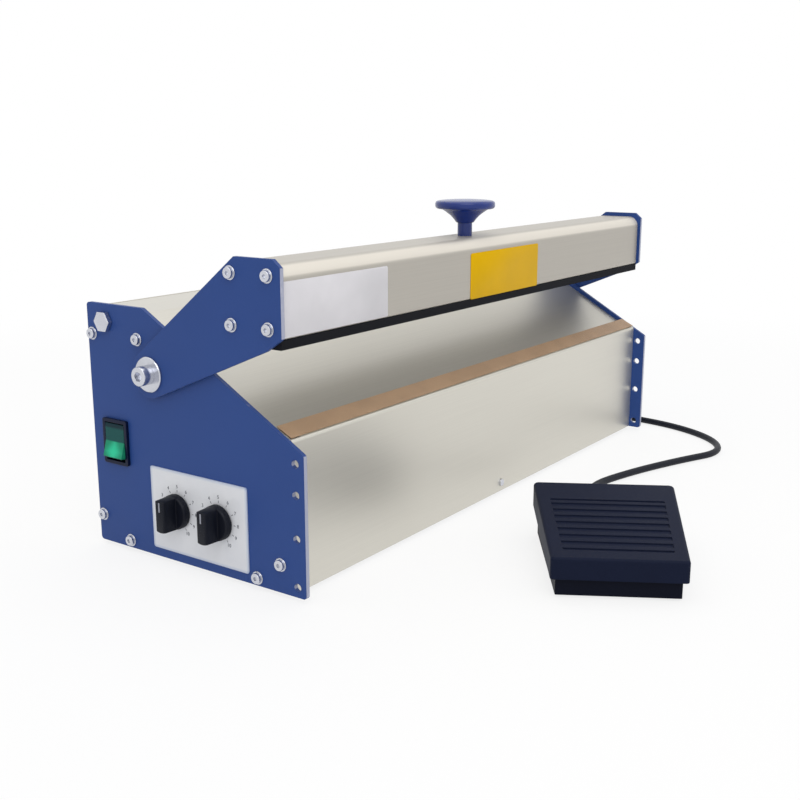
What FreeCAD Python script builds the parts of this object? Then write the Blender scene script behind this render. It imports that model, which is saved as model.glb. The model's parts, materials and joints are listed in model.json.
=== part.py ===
import FreeCAD, Part
import math
import os
from FreeCAD import Placement, Rotation, Vector

# Table-top impulse sealer with a lifting jaw, and its foot switch on a lead. Millimetres.
# X runs along the jaw, -Y is the operator's side and Z is up. The origin is on the table,
# under the middle of the machine's footprint.

# Frame of the machine: two upright side plates with folded sheet panels between them
machine_length = 520.0
machine_depth = 191.5
front_height = 93.0
rear_height = 171.5
top_run = 54.5
plate_thickness = 3.0
plate_corner = 2.5
foot_height = 3.0
foot_radius = 9.0
foot_sides = 24
foot_inset = 22.0
sheet = 1.5
sheet_bend = 1.0
front_recess = 11.5
cover_recess = 3.5
cover_drop = 12.0
cover_lip = 8.0
cover_gap = 0.5
base_lift = 0.3
base_flange = 11.0
base_lip = 14.0
front_flange = 15.0
rear_flange = 10.0
cover_tab_width = 18.0
cover_tab_below = 7.5
end_gap = 0.5

# Fasteners. The small ones have twelve sides, to keep the solids light.
fastener_sides = 12
screw_radius = 2.0
screw_head_radius = 3.6
screw_head_height = 2.8
screw_socket = 2.5
screw_socket_depth = 1.6
screw_hole_clearance = 0.25
thread_clearance = 0.05
washer_radius = 4.5
washer_thickness = 0.8
front_screw_back = 20.6
front_screw_up = 19.0
base_screw_up = 5.5
base_screw_back = 40.6
base_screw_inset = 31.9
side_screw_spare = 3.5
rear_screw_inset = 4.5
rear_screw_up = 19.5
top_screw_drop = 21.4
cover_screw_inset = 48.9
accessory_hole_radius = 2.75
accessory_hole_back = 7.0
accessory_hole_ups = (6.6, 38.5, 67.0, 87.0)
small_screw_radius = 1.5
small_head_radius = 2.8
small_head_height = 1.6
small_screw_length = 5.0
front_slot_width = 4.4
front_slot_up = 7.5
front_slot_rise = 6.0
tie_rod_radius = 6.0
tie_rod_inset = 18.0
tie_rod_drop = 12.0
hex_width = 13.0
hex_height = 5.3
hex_shank_radius = 4.0
hex_shank_length = 14.0

# Jaw: the arm turns about the pivot, and its pad comes down on the seal line
pivot_inset = 64.0
pivot_drop = 42.5
pad_rise = 27.5
seal_back = 18.8
seal_stand = 1.5
seal_gap = 0.3
tape_width = 13.0
tape_thickness = 0.4
wire_width = 3.0
wire_thickness = 0.3
wire_leg = 9.0
wire_end_inset = 6.7
wire_slot_half = 1.5
insulation_thickness = 0.5
insulation_end = 3.0
insulation_side = 0.5
flange_margin = 1.0
seal_bar_width = 7.5
seal_bar_rear = 2.0
seal_bar_thickness = 8.0
clamp_length = 8.0
clamp_thickness = 7.0
clamp_hole_radius = 1.65

# Arm plates and the beam between them
arm_thickness = 3.0
arm_gap = 0.3
arm_recess = 11.5
arm_top = 82.0
arm_top_run = 37.0
arm_chamfer_run = 6.0
arm_chamfer_drop = 5.0
arm_nose_up = 35.0
arm_heel_run = 12.5
arm_heel_up = 26.3
arm_round = 16.0
beam_set_back = 3.0
beam_width = 44.5
beam_height = 45.0
beam_wall = 2.5
beam_top_round = 9.0
beam_bottom_round = 1.5
port_spacing_y = 30.0
port_spacing_z = 32.0
port_wall = 2.4
port_web = 2.4
pad_width = 18.0
pad_height = 6.0
pad_rib_width = 6.0
pad_rib_height = 1.2
arm_screw_length = 16.0

# Pivot shaft, its bushes and end screws
shaft_radius = 8.0
shaft_running = 0.05
spigot_radius = 6.0
spigot_flat = 4.8
bush_radius = 10.0
bush_flange_radius = 13.0
bush_flange = 1.0
bush_reach = 9.0
pivot_washer_radius = 12.0
pivot_washer_thickness = 2.0
pivot_screw_radius = 4.0
pivot_screw_length = 22.0
pivot_head_radius = 6.5
pivot_head_height = 8.0
pivot_socket = 6.0

# Lifting handle
handle_offset = -20.0
handle_stem_radius = 5.0
handle_stem = 10.0
handle_cone_base = 7.0
handle_cone_top = 18.0
handle_cone = 10.5
handle_disc_radius = 23.0
handle_disc = 6.0
handle_disc_round = 2.2
handle_crown = 1.2
stud_radius = 4.0
stud_in_handle = 16.0
stud_below = 9.0
nut_width = 13.0
nut_height = 6.5

# Cranks on the pivot shaft, with return springs behind them and hold magnets below
crank_x = 150.0
crank_thickness = 6.0
hub_radius = 14.0
hub_length = 18.0
crank_arm_width = 20.0
spring_arm = 35.0
spring_arm_width = 12.0
spring_pin_radius = 2.5
spring_pin_reach = 18.0
spring_side = 12.0
spring_wire_radius = 0.9
spring_coil_radius = 6.0
spring_turns = 7
spring_eye_radius = 5.0
spring_hook_gap = 0.2
spring_hook_drop = 3.6
anchor_width = 10.0
anchor_height = 16.5
anchor_hole_radius = 1.6
magnet_drop = 62.0
magnet_radius = 19.0
magnet_core_radius = 8.0
magnet_shell = 3.5
magnet_depth = 34.0
magnet_pocket = 24.0
magnet_gap = 0.3
magnet_inset = 22.0
armature_width = 44.0
armature_height = 36.0
armature_thickness = 6.0
bracket_thickness = 3.0
bracket_foot = 24.0

# Transformer
core_width = 84.0
core_height = 70.0
core_depth = 36.0
core_leg = 14.0
core_pole = 28.0
core_back = 70.0
core_foot = 4.0
winding_overhang = 12.0
winding_clearance = 0.4
winding_corner = 8.4

# Controls on the left side plate
control_back = 91.5
control_up = 35.5
control_width = 88.0
control_height = 58.0
control_thickness = 0.8
control_corner = 1.5
knob_spacing = 38.0
knob_up = 37.0
knob_gap = 0.6
knob_radius = 12.0
knob_skirt = 5.0
knob_height = 16.0
knob_bar_width = 8.0
knob_bar_round = 2.0
knob_recess_radius = 8.0
knob_recess = 3.2
knob_bore_depth = 12.0
knob_fit = 0.05
pot_shaft_radius = 3.0
pot_bush_radius = 4.6
pot_bush_length = 7.6
pot_body_radius = 12.0
pot_body_depth = 9.0
pot_running = 0.08
pot_nut_width = 12.5
pot_nut_height = 2.2
board_thickness = 1.6
board_height = 56.0
board_width = 86.0
board_rise = 4.0
relay_depth = 15.0
relay_front = 36.0
relay_width = 20.0
relay_height = 24.0
terminal_depth = 11.0
terminal_front = 8.0
terminal_width = 46.0
terminal_height = 10.0
capacitor_length = 18.0
capacitor_radius = 6.5
capacitor_back = 26.0
capacitor_drop = 6.0
switch_inset = 23.3
switch_up = 76.0
switch_width = 24.0
switch_height = 32.0
switch_bezel = 2.2
switch_corner = 1.5
switch_body_width = 21.6
switch_body_height = 29.6
switch_depth = 22.0
switch_cavity = 14.0
switch_wall = 1.2
rocker_inset = 4.0
rocker_half_height = 12.0
rocker_side_gap = 0.35
rocker_travel = 16.0
rocker_shoulder = 2.0
rocker_depth = 6.0
rocker_heel = 6.6
rocker_pin_radius = 1.5
rocker_pin_reach = 0.9
rocker_running = 0.06

# Mains inlet and pedal lead gland on the rear panel
inlet_inset = 60.0
inlet_up = 34.0
inlet_width = 27.0
inlet_height = 20.0
inlet_flange_width = 50.0
inlet_flange_height = 24.0
inlet_flange = 3.0
inlet_depth = 22.0
inlet_cavity = 16.0
inlet_pin = 9.0
inlet_pin_spread = 7.0
inlet_pin_offset = 2.0
inlet_pin_thickness = 2.0
inlet_pin_width = 5.0
inlet_corner = 4.0
inlet_wall = 2.0
inlet_screw_spacing = 40.0
gland_inset = 32.0
gland_up = 21.0
gland_radius = 7.5
gland_nut_width = 15.0
gland_length = 16.0
gland_nut_height = 5.0
gland_thread_radius = 6.0
gland_dome_radius = 7.1
gland_tip = 4.0
gland_tip_wall = 1.5
gland_lock = 3.0
gland_spare_thread = 2.0
vent_count = 11
vent_width = 3.5
vent_height = 26.0
vent_pitch = 9.0

# Foot switch, standing on the table in front of the machine
pedal_x = -143.1
pedal_y = -252.4
pedal_turn = -59.8
pedal_front_width = 86.5
pedal_back_width = 101.0
pedal_length = 121.0
pedal_front_height = 27.6
pedal_back_height = 39.6
pedal_front_round = 2.5
pedal_back_round = 4.0
pedal_edge_round = 2.0
pedal_wall = 2.5
pedal_skirt_front = 13.2
pedal_skirt_back = 23.0
pedal_play = 1.2
pedal_feet_height = 1.5
pedal_feet_radius = 6.0
pedal_feet_inset = 14.0
pedal_floor = 2.5
pedal_base_front = 16.0
pedal_base_back = 24.0
tread_border = 9.0
tread_front_border = 12.0
tread_back_border = 30.0
tread_depth = 0.8
tread_ribs = 8
tread_rib_width = 4.0
tread_corner = 1.5
hinge_inset = 11.0
hinge_up = 21.0
hinge_pin_radius = 2.0
hinge_ear_spread = 31.0
hinge_ear_thickness = 4.0
hinge_ear_radius = 4.0
hinge_lug_gap = 0.6
hinge_running = 0.06
pedal_spring_back = 46.0
pedal_spring_radius = 7.0
pedal_spring_wire = 0.6
pedal_spring_turns = 4
pedal_spring_gap = 0.3
pedal_switch_back = 68.0
pedal_travel = 4.0
snap_width = 28.0
snap_depth = 10.0
snap_front = 5.0
plunger_gap = 0.4
plunger_width = 6.0
plunger_depth = 4.0
plunger_rise = 3.0
tab_spread = 8.0
tab_width = 4.0
tab_length = 6.0
tab_up = 3.0
tab_thickness = 0.8
grommet_up = 9.6
grommet_radius = 4.2
grommet_tip_radius = 3.7
grommet_flange_radius = 5.2
grommet_length = 20.0

# Lead from the foot switch to the gland
lead_radius = 3.0
coil_turns = 4.76
lead_straight = 30.0
gland_straight = 14.0
coil_left = 35.0
coil_behind = 64.25
coil_mean_radius = 33.0
coil_layers_high = 2
coil_turns_wide = 3
arc_share = 0.45

half_length = machine_length / 2
inner_x = half_length - plate_thickness
inlet_x = inlet_inset - half_length
gland_x = half_length - gland_inset
front_edge = -machine_depth / 2
slope_run = machine_depth - top_run
slope_angle = math.atan2(rear_height - front_height, slope_run)


def back(distance):
    """Y of a point this far behind the side plates' front edge."""
    return front_edge + distance


def up(distance):
    """Z of a point this high above the side plates' bottom edge."""
    return foot_height + distance


pivot_y = back(machine_depth - pivot_inset)
pivot_z = up(rear_height - pivot_drop)
arm_front = pivot_y - back(arm_recess)
arm_inner_x = half_length + bush_flange + arm_gap
arm_outer_x = arm_inner_x + arm_thickness
seal_y = back(seal_back)
seal_z = up(front_height + seal_back * math.tan(slope_angle) + seal_stand)

# The closing angle turns the pad's plane until it lies the seal gap above the tape
seal_reach = math.hypot(pivot_y - seal_y, pivot_z - seal_z)
seal_dip = math.atan2(pivot_z - seal_z, pivot_y - seal_y)
closing_angle = math.asin((pad_rise - seal_gap) / seal_reach) + seal_dip

# Levels below the tape's top face, measured square to the closed jaw
wire_top = -tape_thickness
insulation_top = wire_top - wire_thickness
flange_top = insulation_top - insulation_thickness
flange_bottom = flange_top - sheet


def box(x0, x1, y0, y1, z0, z1):
    return Part.makeBox(x1 - x0, y1 - y0, z1 - z0, Vector(x0, y0, z0))


def rod_x(x0, x1, y, z, radius):
    return Part.makeCylinder(radius, x1 - x0, Vector(x0, y, z), Vector(1, 0, 0))


def rod_y(y0, y1, x, z, radius):
    return Part.makeCylinder(radius, y1 - y0, Vector(x, y0, z), Vector(0, 1, 0))


def rod_z(z0, z1, x, y, radius):
    return Part.makeCylinder(radius, z1 - z0, Vector(x, y, z0), Vector(0, 0, 1))


def merge(shapes):
    """One solid from several that touch or overlap."""
    whole = shapes[0]
    for shape in shapes[1:]:
        whole = whole.fuse(shape)
    return whole.removeSplitter()


def group(shapes):
    """Separate solids kept in one node."""
    return Part.makeCompound(shapes)


def mirrored(shape):
    """The same piece for the other end of the machine."""
    return shape.mirror(Vector(0, 0, 0), Vector(1, 0, 0))


def corner_arc(before, corner, after, radius):
    """Start, middle and end of the arc that rounds a corner with this radius."""
    towards = (before - corner).normalize()
    away = (after - corner).normalize()
    half = towards.getAngle(away) / 2
    reach = radius / math.tan(half)
    bisector = (towards + away).normalize()
    centre = corner + bisector * (radius / math.sin(half))
    return corner + towards * reach, centre - bisector * radius, corner + away * reach


def closed_wire(points, radii):
    """A closed outline with each corner rounded by its own radius, or left sharp at 0."""
    edges = []
    stops = []
    for index, corner in enumerate(points):
        if radii[index] > 0:
            after = points[(index + 1) % len(points)]
            start, middle, end = corner_arc(points[index - 1], corner, after, radii[index])
            edges.append(Part.Arc(start, middle, end).toShape())
            stops.append((start, end))
        else:
            stops.append((corner, corner))
    for index in range(len(points)):
        start = stops[index][1]
        end = stops[(index + 1) % len(points)][0]
        if start.distanceToPoint(end) > 1e-6:
            edges.append(Part.makeLine(start, end))
    return Part.Wire(Part.__sortEdges__(edges))


def plate_x(outline, radii, x0, x1):
    """A prism along X from an outline of (y, z) points."""
    points = [Vector(x0, y, z) for y, z in outline]
    return Part.Face(closed_wire(points, radii)).extrude(Vector(x1 - x0, 0, 0))


def plate_y(outline, radii, y0, y1):
    """A prism along Y from an outline of (x, z) points."""
    points = [Vector(x, y0, z) for x, z in outline]
    return Part.Face(closed_wire(points, radii)).extrude(Vector(0, y1 - y0, 0))


def plate_z(outline, radii, z0, z1):
    """A prism along Z from an outline of (x, y) points."""
    points = [Vector(x, y, z0) for x, y in outline]
    return Part.Face(closed_wire(points, radii)).extrude(Vector(0, 0, z1 - z0))


def rectangle(a0, a1, b0, b1):
    return [(a0, b0), (a1, b0), (a1, b1), (a0, b1)]


def turned_z(outline, radii, x, y):
    """A turned piece about an upright axis from an outline of (radius, z) points."""
    points = [Vector(x + radius, y, z) for radius, z in outline]
    face = Part.Face(closed_wire(points, radii))
    return face.revolve(Vector(x, y, 0), Vector(0, 0, 1), 360)


def prism(sides, radius, z0, z1):
    """A regular prism on the Z axis, measured to its corners."""
    turns = [2 * math.pi * step / sides for step in range(sides)]
    outline = [(radius * math.cos(turn), radius * math.sin(turn)) for turn in turns]
    return plate_z(outline, [0] * sides, z0, z1)


def hexagon(width, height):
    """A hexagonal prism standing on z = 0, measured across its flats."""
    return prism(6, width / math.sqrt(3), 0, height)


def peg(radius, z0, z1):
    """A small fastener's shank, head or hole, with as many sides as such small pieces need."""
    return prism(fastener_sides, radius, z0, z1)


def moved(shape, x, y, z, axis, angle):
    """A copy turned about an axis through the origin and then moved."""
    copy = shape.copy()
    copy.Placement = Placement(Vector(x, y, z), Rotation(axis, angle)).multiply(copy.Placement)
    return copy


def facing_x(shape, side, x, y, z):
    """Moves a piece made on the Z axis so that it points out of the left or right end."""
    return moved(shape, x, y, z, Vector(0, 1, 0), 90 * side)


def facing_y(shape, side, x, y, z):
    """Moves a piece made on the Z axis so that it points to the front or the rear."""
    return moved(shape, x, y, z, Vector(1, 0, 0), -90 * side)


def socketed(body, top, width, depth):
    """Sinks a hexagonal socket into the top of a screw's head."""
    key = hexagon(width, depth + 1)
    key.translate(Vector(0, 0, top - depth))
    return body.cut(key).removeSplitter()


def drill_x(shape, places, radius):
    """Cuts a hole for a small fastener through both ends of a shape at each (y, z)."""
    for y, z in places:
        shape = shape.cut(facing_x(peg(radius, -machine_length, machine_length), 1, 0, y, z))
    return shape


def drill_ends(shape, places, radius):
    """Cuts a hole for a small fastener in each end flange of a sheet at each (y, z)."""
    for y, z in places:
        hole = facing_x(peg(radius, inner_x - sheet * 2, half_length), 1, 0, y, z)
        shape = shape.cut(hole).cut(mirrored(hole))
    return shape


def drill_y(shape, places, radius, y0, y1):
    """Cuts a hole for a small fastener from front to back at each (x, z)."""
    for x, z in places:
        shape = shape.cut(facing_y(peg(radius, y0, y1), 1, x, 0, z))
    return shape


def folded_outline(points, thickness, bend):
    """Outline and radii of a folded sheet whose outer face follows the points."""
    normals = []
    for (a0, b0), (a1, b1) in zip(points, points[1:]):
        run = math.hypot(a1 - a0, b1 - b0)
        normals.append(((b1 - b0) / run, -(a1 - a0) / run))
    inner = []
    outer_radii = [0]
    inner_radii = [0]
    for index, (a, b) in enumerate(points):
        first = normals[max(index - 1, 0)]
        second = normals[min(index, len(normals) - 1)]
        share = thickness / (1 + first[0] * second[0] + first[1] * second[1])
        inner.append((a + (first[0] + second[0]) * share, b + (first[1] + second[1]) * share))
        if 0 < index < len(points) - 1:
            turn = first[0] * second[1] - first[1] * second[0]
            outer_radii.append(bend + thickness if turn < 0 else bend)
            inner_radii.append(bend if turn < 0 else bend + thickness)
    outer_radii.append(0)
    inner_radii.append(0)
    return points + inner[::-1], outer_radii + inner_radii[::-1]


def jaw(along, above):
    """A (y, z) point on the closed jaw, from the seal line on top of the tape."""
    cosine = math.cos(closing_angle)
    sine = math.sin(closing_angle)
    return (seal_y + along * cosine - above * sine, seal_z + along * sine + above * cosine)


def jaw_bar(along0, along1, above0, above1, x0, x1):
    """A bar along X, square to the closed jaw."""
    outline = [jaw(along0, above0), jaw(along1, above0), jaw(along1, above1), jaw(along0, above1)]
    return plate_x(outline, [0] * 4, x0, x1)


def cover_height(y):
    """Z of the cover's outer face on the slope."""
    drop = cover_recess / math.cos(slope_angle)
    return up(front_height - drop) + (y - front_edge) * math.tan(slope_angle)


# Places that several pieces share
front_face_y = back(front_recess)
fold_along = (front_face_y - seal_y + flange_top * math.sin(closing_angle)) / math.cos(closing_angle)
fold_z = jaw(fold_along, flange_top)[1]
fold_turn = math.pi / 2 - closing_angle
tape_front = fold_along + (sheet_bend + sheet) * math.tan(fold_turn / 2)
tape_rear = tape_front + tape_width
flange_rear = tape_rear + flange_margin
rear_face_y = back(machine_depth)
rear_inner_y = rear_face_y - sheet
cover_top_z = up(rear_height - cover_recess)
bar_rear_y = jaw(seal_bar_rear, flange_bottom - seal_bar_thickness)[0]
cover_front_y = max(jaw(flange_rear, flange_top)[0], bar_rear_y) + cover_gap
cover_corner_y = front_edge + (cover_top_z - cover_height(front_edge)) / math.tan(slope_angle)
base_bottom_z = up(base_lift)
base_top_z = base_bottom_z + sheet
tie_rod_y = back(machine_depth - tie_rod_inset)
tie_rod_z = up(rear_height - tie_rod_drop)
side_screw_places = [
    (back(front_screw_back), up(front_screw_up)),
    (back(base_screw_back), up(base_screw_up)),
    (back(machine_depth - base_screw_inset), up(base_screw_up)),
    (back(machine_depth - rear_screw_inset), up(rear_screw_up)),
    (back(machine_depth - rear_screw_inset), up(rear_height - top_screw_drop)),
    (back(machine_depth - cover_screw_inset), up(rear_height - top_screw_drop)),
]
panel_hole_radius = screw_radius + thread_clearance
side_screw_length = plate_thickness + sheet + side_screw_spare
control_y = back(control_back)
control_z = up(control_up)
control_face_x = -half_length - control_thickness
knob_places = [(control_y + knob_spacing / 2, up(knob_up)), (control_y - knob_spacing / 2, up(knob_up))]
switch_y = back(machine_depth - switch_inset)
switch_z = up(switch_up)
beam_front_y = pivot_y - arm_front + beam_set_back
beam_mid_y = beam_front_y + beam_width / 2
beam_bottom_z = pivot_z + pad_rise + pad_height
beam_mid_z = beam_bottom_z + beam_height / 2
beam_top_z = beam_bottom_z + beam_height
port_places = [
    (beam_mid_y + side * port_spacing_y / 2, beam_mid_z + level * port_spacing_z / 2)
    for side in (-1, 1)
    for level in (-1, 1)
]


def side_plate():
    """The right side plate, without the controls' openings."""
    outline = [
        (front_edge, up(0)),
        (front_edge, up(front_height)),
        (back(slope_run), up(rear_height)),
        (rear_face_y, up(rear_height)),
        (rear_face_y, up(0)),
    ]
    radii = [plate_corner] * len(outline)
    plate = plate_x(outline, radii, inner_x, half_length)
    plate = plate.cut(rod_x(inner_x - 1, half_length + 1, pivot_y, pivot_z, bush_radius))
    for height in accessory_hole_ups:
        y = back(accessory_hole_back)
        plate = plate.cut(rod_x(inner_x - 1, half_length + 1, y, up(height), accessory_hole_radius))
    plate = drill_x(plate, [(tie_rod_y, tie_rod_z)], hex_shank_radius + screw_hole_clearance)
    return drill_x(plate, side_screw_places, screw_radius + screw_hole_clearance)


def left_side_plate():
    plate = mirrored(side_plate())
    for y, z in knob_places:
        plate = plate.cut(rod_x(-half_length - 1, 1 - inner_x, y, z, pot_bush_radius + thread_clearance))
    half_width = switch_body_width / 2 + thread_clearance
    half_height = switch_body_height / 2 + thread_clearance
    window = box(
        -half_length - 1,
        1 - inner_x,
        switch_y - half_width,
        switch_y + half_width,
        switch_z - half_height,
        switch_z + half_height,
    )
    return plate.cut(window)


def front_panel():
    """Upright front sheet, folded over at its top into the shelf under the seal."""
    points = [(front_face_y, base_bottom_z), (front_face_y, fold_z), jaw(flange_rear, flange_top)]
    outline, radii = folded_outline(points, sheet, sheet_bend)
    panel = plate_x(outline, radii, -inner_x, inner_x)
    inner_y = front_face_y + sheet
    top_z = up(front_screw_up) + front_flange
    for side in (-1, 1):
        x0 = min(side * inner_x, side * (inner_x - sheet))
        flange = box(x0, x0 + sheet, inner_y, inner_y + front_flange, base_top_z + base_flange, top_z)
        panel = panel.fuse(flange)
        leg_x = side * (inner_x - wire_end_inset)
        slot_x = leg_x - wire_slot_half
        slot_end = slot_x + wire_slot_half * 2
        slot = jaw_bar(-wire_width, wire_width, flange_bottom - 1, flange_top + 1, slot_x, slot_end)
        panel = panel.cut(slot)
    half_slot = front_slot_width / 2
    slot_z = up(front_slot_up)
    slot = plate_y(
        rectangle(-half_slot, half_slot, slot_z - front_slot_rise / 2, slot_z + front_slot_rise / 2),
        [half_slot * 0.9] * 4,
        front_face_y - 1,
        inner_y + 1,
    )
    return drill_ends(panel.cut(slot), side_screw_places[:1], panel_hole_radius).removeSplitter()


def top_cover():
    """Sheet over the slope and the flat top, with a lip at the front and a drop at the rear."""
    points = [
        (cover_front_y, cover_height(cover_front_y) - cover_lip),
        (cover_front_y, cover_height(cover_front_y)),
        (cover_corner_y, cover_top_z),
        (rear_inner_y, cover_top_z),
        (rear_inner_y, cover_top_z - cover_drop),
    ]
    outline, radii = folded_outline(points, sheet, sheet_bend)
    cover = plate_x(outline, radii, -inner_x, inner_x)
    tab_y, tab_z = side_screw_places[5]
    for side in (-1, 1):
        x0 = min(side * inner_x, side * (inner_x - sheet))
        tab = box(
            x0,
            x0 + sheet,
            tab_y - cover_tab_width / 2,
            tab_y + cover_tab_width / 2,
            tab_z - cover_tab_below,
            cover_top_z - sheet / 2,
        )
        below = plate_x(
            [
                (tab_y - cover_tab_width, tab_z - cover_tab_below - 1),
                (tab_y - cover_tab_width, cover_height(tab_y - cover_tab_width) - sheet),
                (cover_corner_y, cover_top_z - sheet / 2),
                (tab_y + cover_tab_width, cover_top_z - sheet / 2),
                (tab_y + cover_tab_width, tab_z - cover_tab_below - 1),
            ],
            [0] * 5,
            x0,
            x0 + sheet,
        )
        cover = cover.fuse(tab.common(below))
    small_hole = small_screw_radius + thread_clearance
    cover = drill_y(cover, cover_drop_screws(), small_hole, rear_inner_y - sheet - 1, rear_inner_y + 1)
    return drill_ends(cover, side_screw_places[5:], panel_hole_radius).removeSplitter()


def rear_panel():
    """Flat rear sheet with end flanges, vents and openings for the inlet and the gland."""
    panel = box(-inner_x, inner_x, rear_inner_y, rear_face_y, base_bottom_z, cover_top_z)
    for side in (-1, 1):
        x0 = min(side * inner_x, side * (inner_x - sheet))
        flange = box(
            x0,
            x0 + sheet,
            rear_inner_y - rear_flange,
            rear_inner_y,
            base_top_z + base_flange,
            cover_top_z - cover_drop - sheet,
        )
        panel = panel.fuse(flange)
    for index in range(vent_count):
        x = (index - (vent_count - 1) / 2) * vent_pitch
        slot = box(
            x - vent_width / 2,
            x + vent_width / 2,
            rear_inner_y - 1,
            rear_face_y + 1,
            up(rear_height / 2) - vent_height / 2,
            up(rear_height / 2) + vent_height / 2,
        )
        panel = panel.cut(slot)
    inlet = box(
        inlet_x - inlet_width / 2 - thread_clearance,
        inlet_x + inlet_width / 2 + thread_clearance,
        rear_inner_y - 1,
        rear_face_y + 1,
        up(inlet_up) - inlet_height / 2 - thread_clearance,
        up(inlet_up) + inlet_height / 2 + thread_clearance,
    )
    panel = panel.cut(inlet)
    gland_hole = rod_y(
        rear_inner_y - 1, rear_face_y + 1, gland_x, up(gland_up), gland_thread_radius + thread_clearance
    )
    small_places = cover_drop_screws() + inlet_screws()
    small_hole = small_screw_radius + thread_clearance
    panel = drill_y(panel.cut(gland_hole), small_places, small_hole, rear_inner_y - 1, rear_face_y + 1)
    return drill_ends(panel, side_screw_places[3:5], panel_hole_radius).removeSplitter()


def cover_drop_screws():
    """(x, z) of the small screws that hold the cover's rear drop to the rear panel."""
    spread = inner_x * 0.7
    return [(x, cover_top_z - cover_drop / 2) for x in (-spread, 0, spread)]


def inlet_screws():
    """(x, z) of the small screws through the mains inlet's flange."""
    return [(inlet_x + side * inlet_screw_spacing / 2, up(inlet_up)) for side in (-1, 1)]


def base_plate():
    """Bottom sheet with upturned ends, a front lip and two tabs that anchor the springs."""
    front_y = front_face_y + sheet
    tray = box(-inner_x, inner_x, front_y, rear_inner_y, base_bottom_z, base_top_z)
    for side in (-1, 1):
        x0 = min(side * inner_x, side * (inner_x - sheet))
        flange_z = base_bottom_z + base_flange
        tray = tray.fuse(box(x0, x0 + sheet, front_y, rear_inner_y, base_bottom_z, flange_z))
        tab_x = side * (crank_x + spring_side)
        tab = box(
            tab_x - anchor_width / 2,
            tab_x + anchor_width / 2,
            spring_y - sheet / 2,
            spring_y + sheet / 2,
            base_bottom_z,
            base_top_z + anchor_height,
        )
        hole = rod_y(spring_y - sheet, spring_y + sheet, tab_x, anchor_hole_z, anchor_hole_radius)
        tray = tray.fuse(tab.cut(hole))
    lip = box(-inner_x / 4, inner_x / 4, front_y, front_y + sheet, base_bottom_z, up(base_lip))
    small_hole = small_screw_radius + thread_clearance
    lip = drill_y(lip, [(0, up(front_slot_up))], small_hole, front_y - 1, front_y + sheet + 1)
    return drill_ends(tray.fuse(lip), side_screw_places[1:3], panel_hole_radius).removeSplitter()


# Return springs stand upright between the base's tabs and the cranks' pins
spring_arm_sag = closing_angle / 2
spring_y = pivot_y + spring_arm * math.cos(spring_arm_sag)
spring_pin_z = pivot_z - spring_arm * math.sin(spring_arm_sag)
spring_hook_z = base_top_z + anchor_height - spring_hook_drop
anchor_hole_z = spring_hook_z - anchor_hole_radius + spring_wire_radius + spring_hook_gap
spring_bottom_eye_z = spring_hook_z + spring_eye_radius
spring_pin_top = spring_pin_z + spring_pin_radius
spring_top_eye_z = spring_pin_top + spring_hook_gap + spring_wire_radius - spring_eye_radius


def bent_wire(points, radius):
    """Five-sided wire along a list of closely spaced points."""
    sections = []
    outward = Vector(0, 0, 1)
    for index, point in enumerate(points):
        before = points[max(index - 1, 0)]
        after = points[min(index + 1, len(points) - 1)]
        heading = (after - before).normalize()
        outward = (outward - heading * outward.dot(heading)).normalize()
        across = heading.cross(outward)
        corners = []
        for side in range(5):
            angle = math.radians(72 * side)
            offset = outward * (radius * math.cos(angle)) + across * (radius * math.sin(angle))
            corners.append(point + offset)
        sections.append(Part.makePolygon(corners + corners[:1]))
    return Part.makeLoft(sections, True, True)


def helix_points(x, y, z0, z1, radius, turns):
    """Points up a coil about an upright axis, nine to a turn."""
    points = []
    for step in range(turns * 9 + 1):
        turn = math.radians(40 * step)
        z = z0 + (z1 - z0) * step / (turns * 9)
        points.append(Vector(x + radius * math.cos(turn), y + radius * math.sin(turn), z))
    return points


def eye_points(x, y, z, start):
    """Points round most of an upright eye, from its free end to where it meets the coil."""
    points = []
    for step in range(9):
        turn = math.radians(start + 40 - 40 * (9 - step))
        eye_y = y + spring_eye_radius * math.cos(turn)
        points.append(Vector(x, eye_y, z + spring_eye_radius * math.sin(turn)))
    return points


def tension_spring(x, y):
    """A return spring: an open coil with an eye at each end."""
    z0 = spring_bottom_eye_z + spring_eye_radius + spring_wire_radius * 2
    z1 = spring_top_eye_z - spring_eye_radius - spring_wire_radius * 2
    lower = eye_points(x, y, spring_bottom_eye_z, 90)
    upper = eye_points(x, y, spring_top_eye_z, 270)
    coil = helix_points(x, y, z0, z1, spring_coil_radius, spring_turns)
    return bent_wire(lower + coil + upper[::-1], spring_wire_radius)


def return_springs():
    x = crank_x + spring_side
    return group([tension_spring(side * x, spring_y) for side in (-1, 1)])


def seal_bar():
    """Aluminium backing bar under the shelf, along the seal line."""
    end_x = inner_x - wire_end_inset - clamp_length
    front = seal_bar_rear - seal_bar_width
    low = flange_bottom - seal_bar_thickness
    return jaw_bar(front, seal_bar_rear, low, flange_bottom, -end_x, end_x)


def insulating_strip():
    end_x = inner_x - wire_end_inset - insulation_end
    front = tape_front + insulation_side
    return jaw_bar(front, tape_rear - insulation_side, flange_top, insulation_top, -end_x, end_x)


def heating_wire():
    """Flat ribbon on the insulation, with a leg down into a clamp at each end."""
    half = wire_width / 2
    end_x = inner_x - wire_end_inset
    ribbon = jaw_bar(-half, half, insulation_top, wire_top, -end_x, end_x)
    legs = []
    for side in (-1, 1):
        x0 = min(side * end_x, side * (end_x - wire_thickness))
        legs.append(jaw_bar(-half, half, -wire_leg, insulation_top, x0, x0 + wire_thickness))
    return merge([ribbon] + legs)


def ptfe_tape():
    end_x = inner_x - end_gap
    return jaw_bar(tape_front, tape_rear, wire_top, 0, -end_x, end_x)


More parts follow.
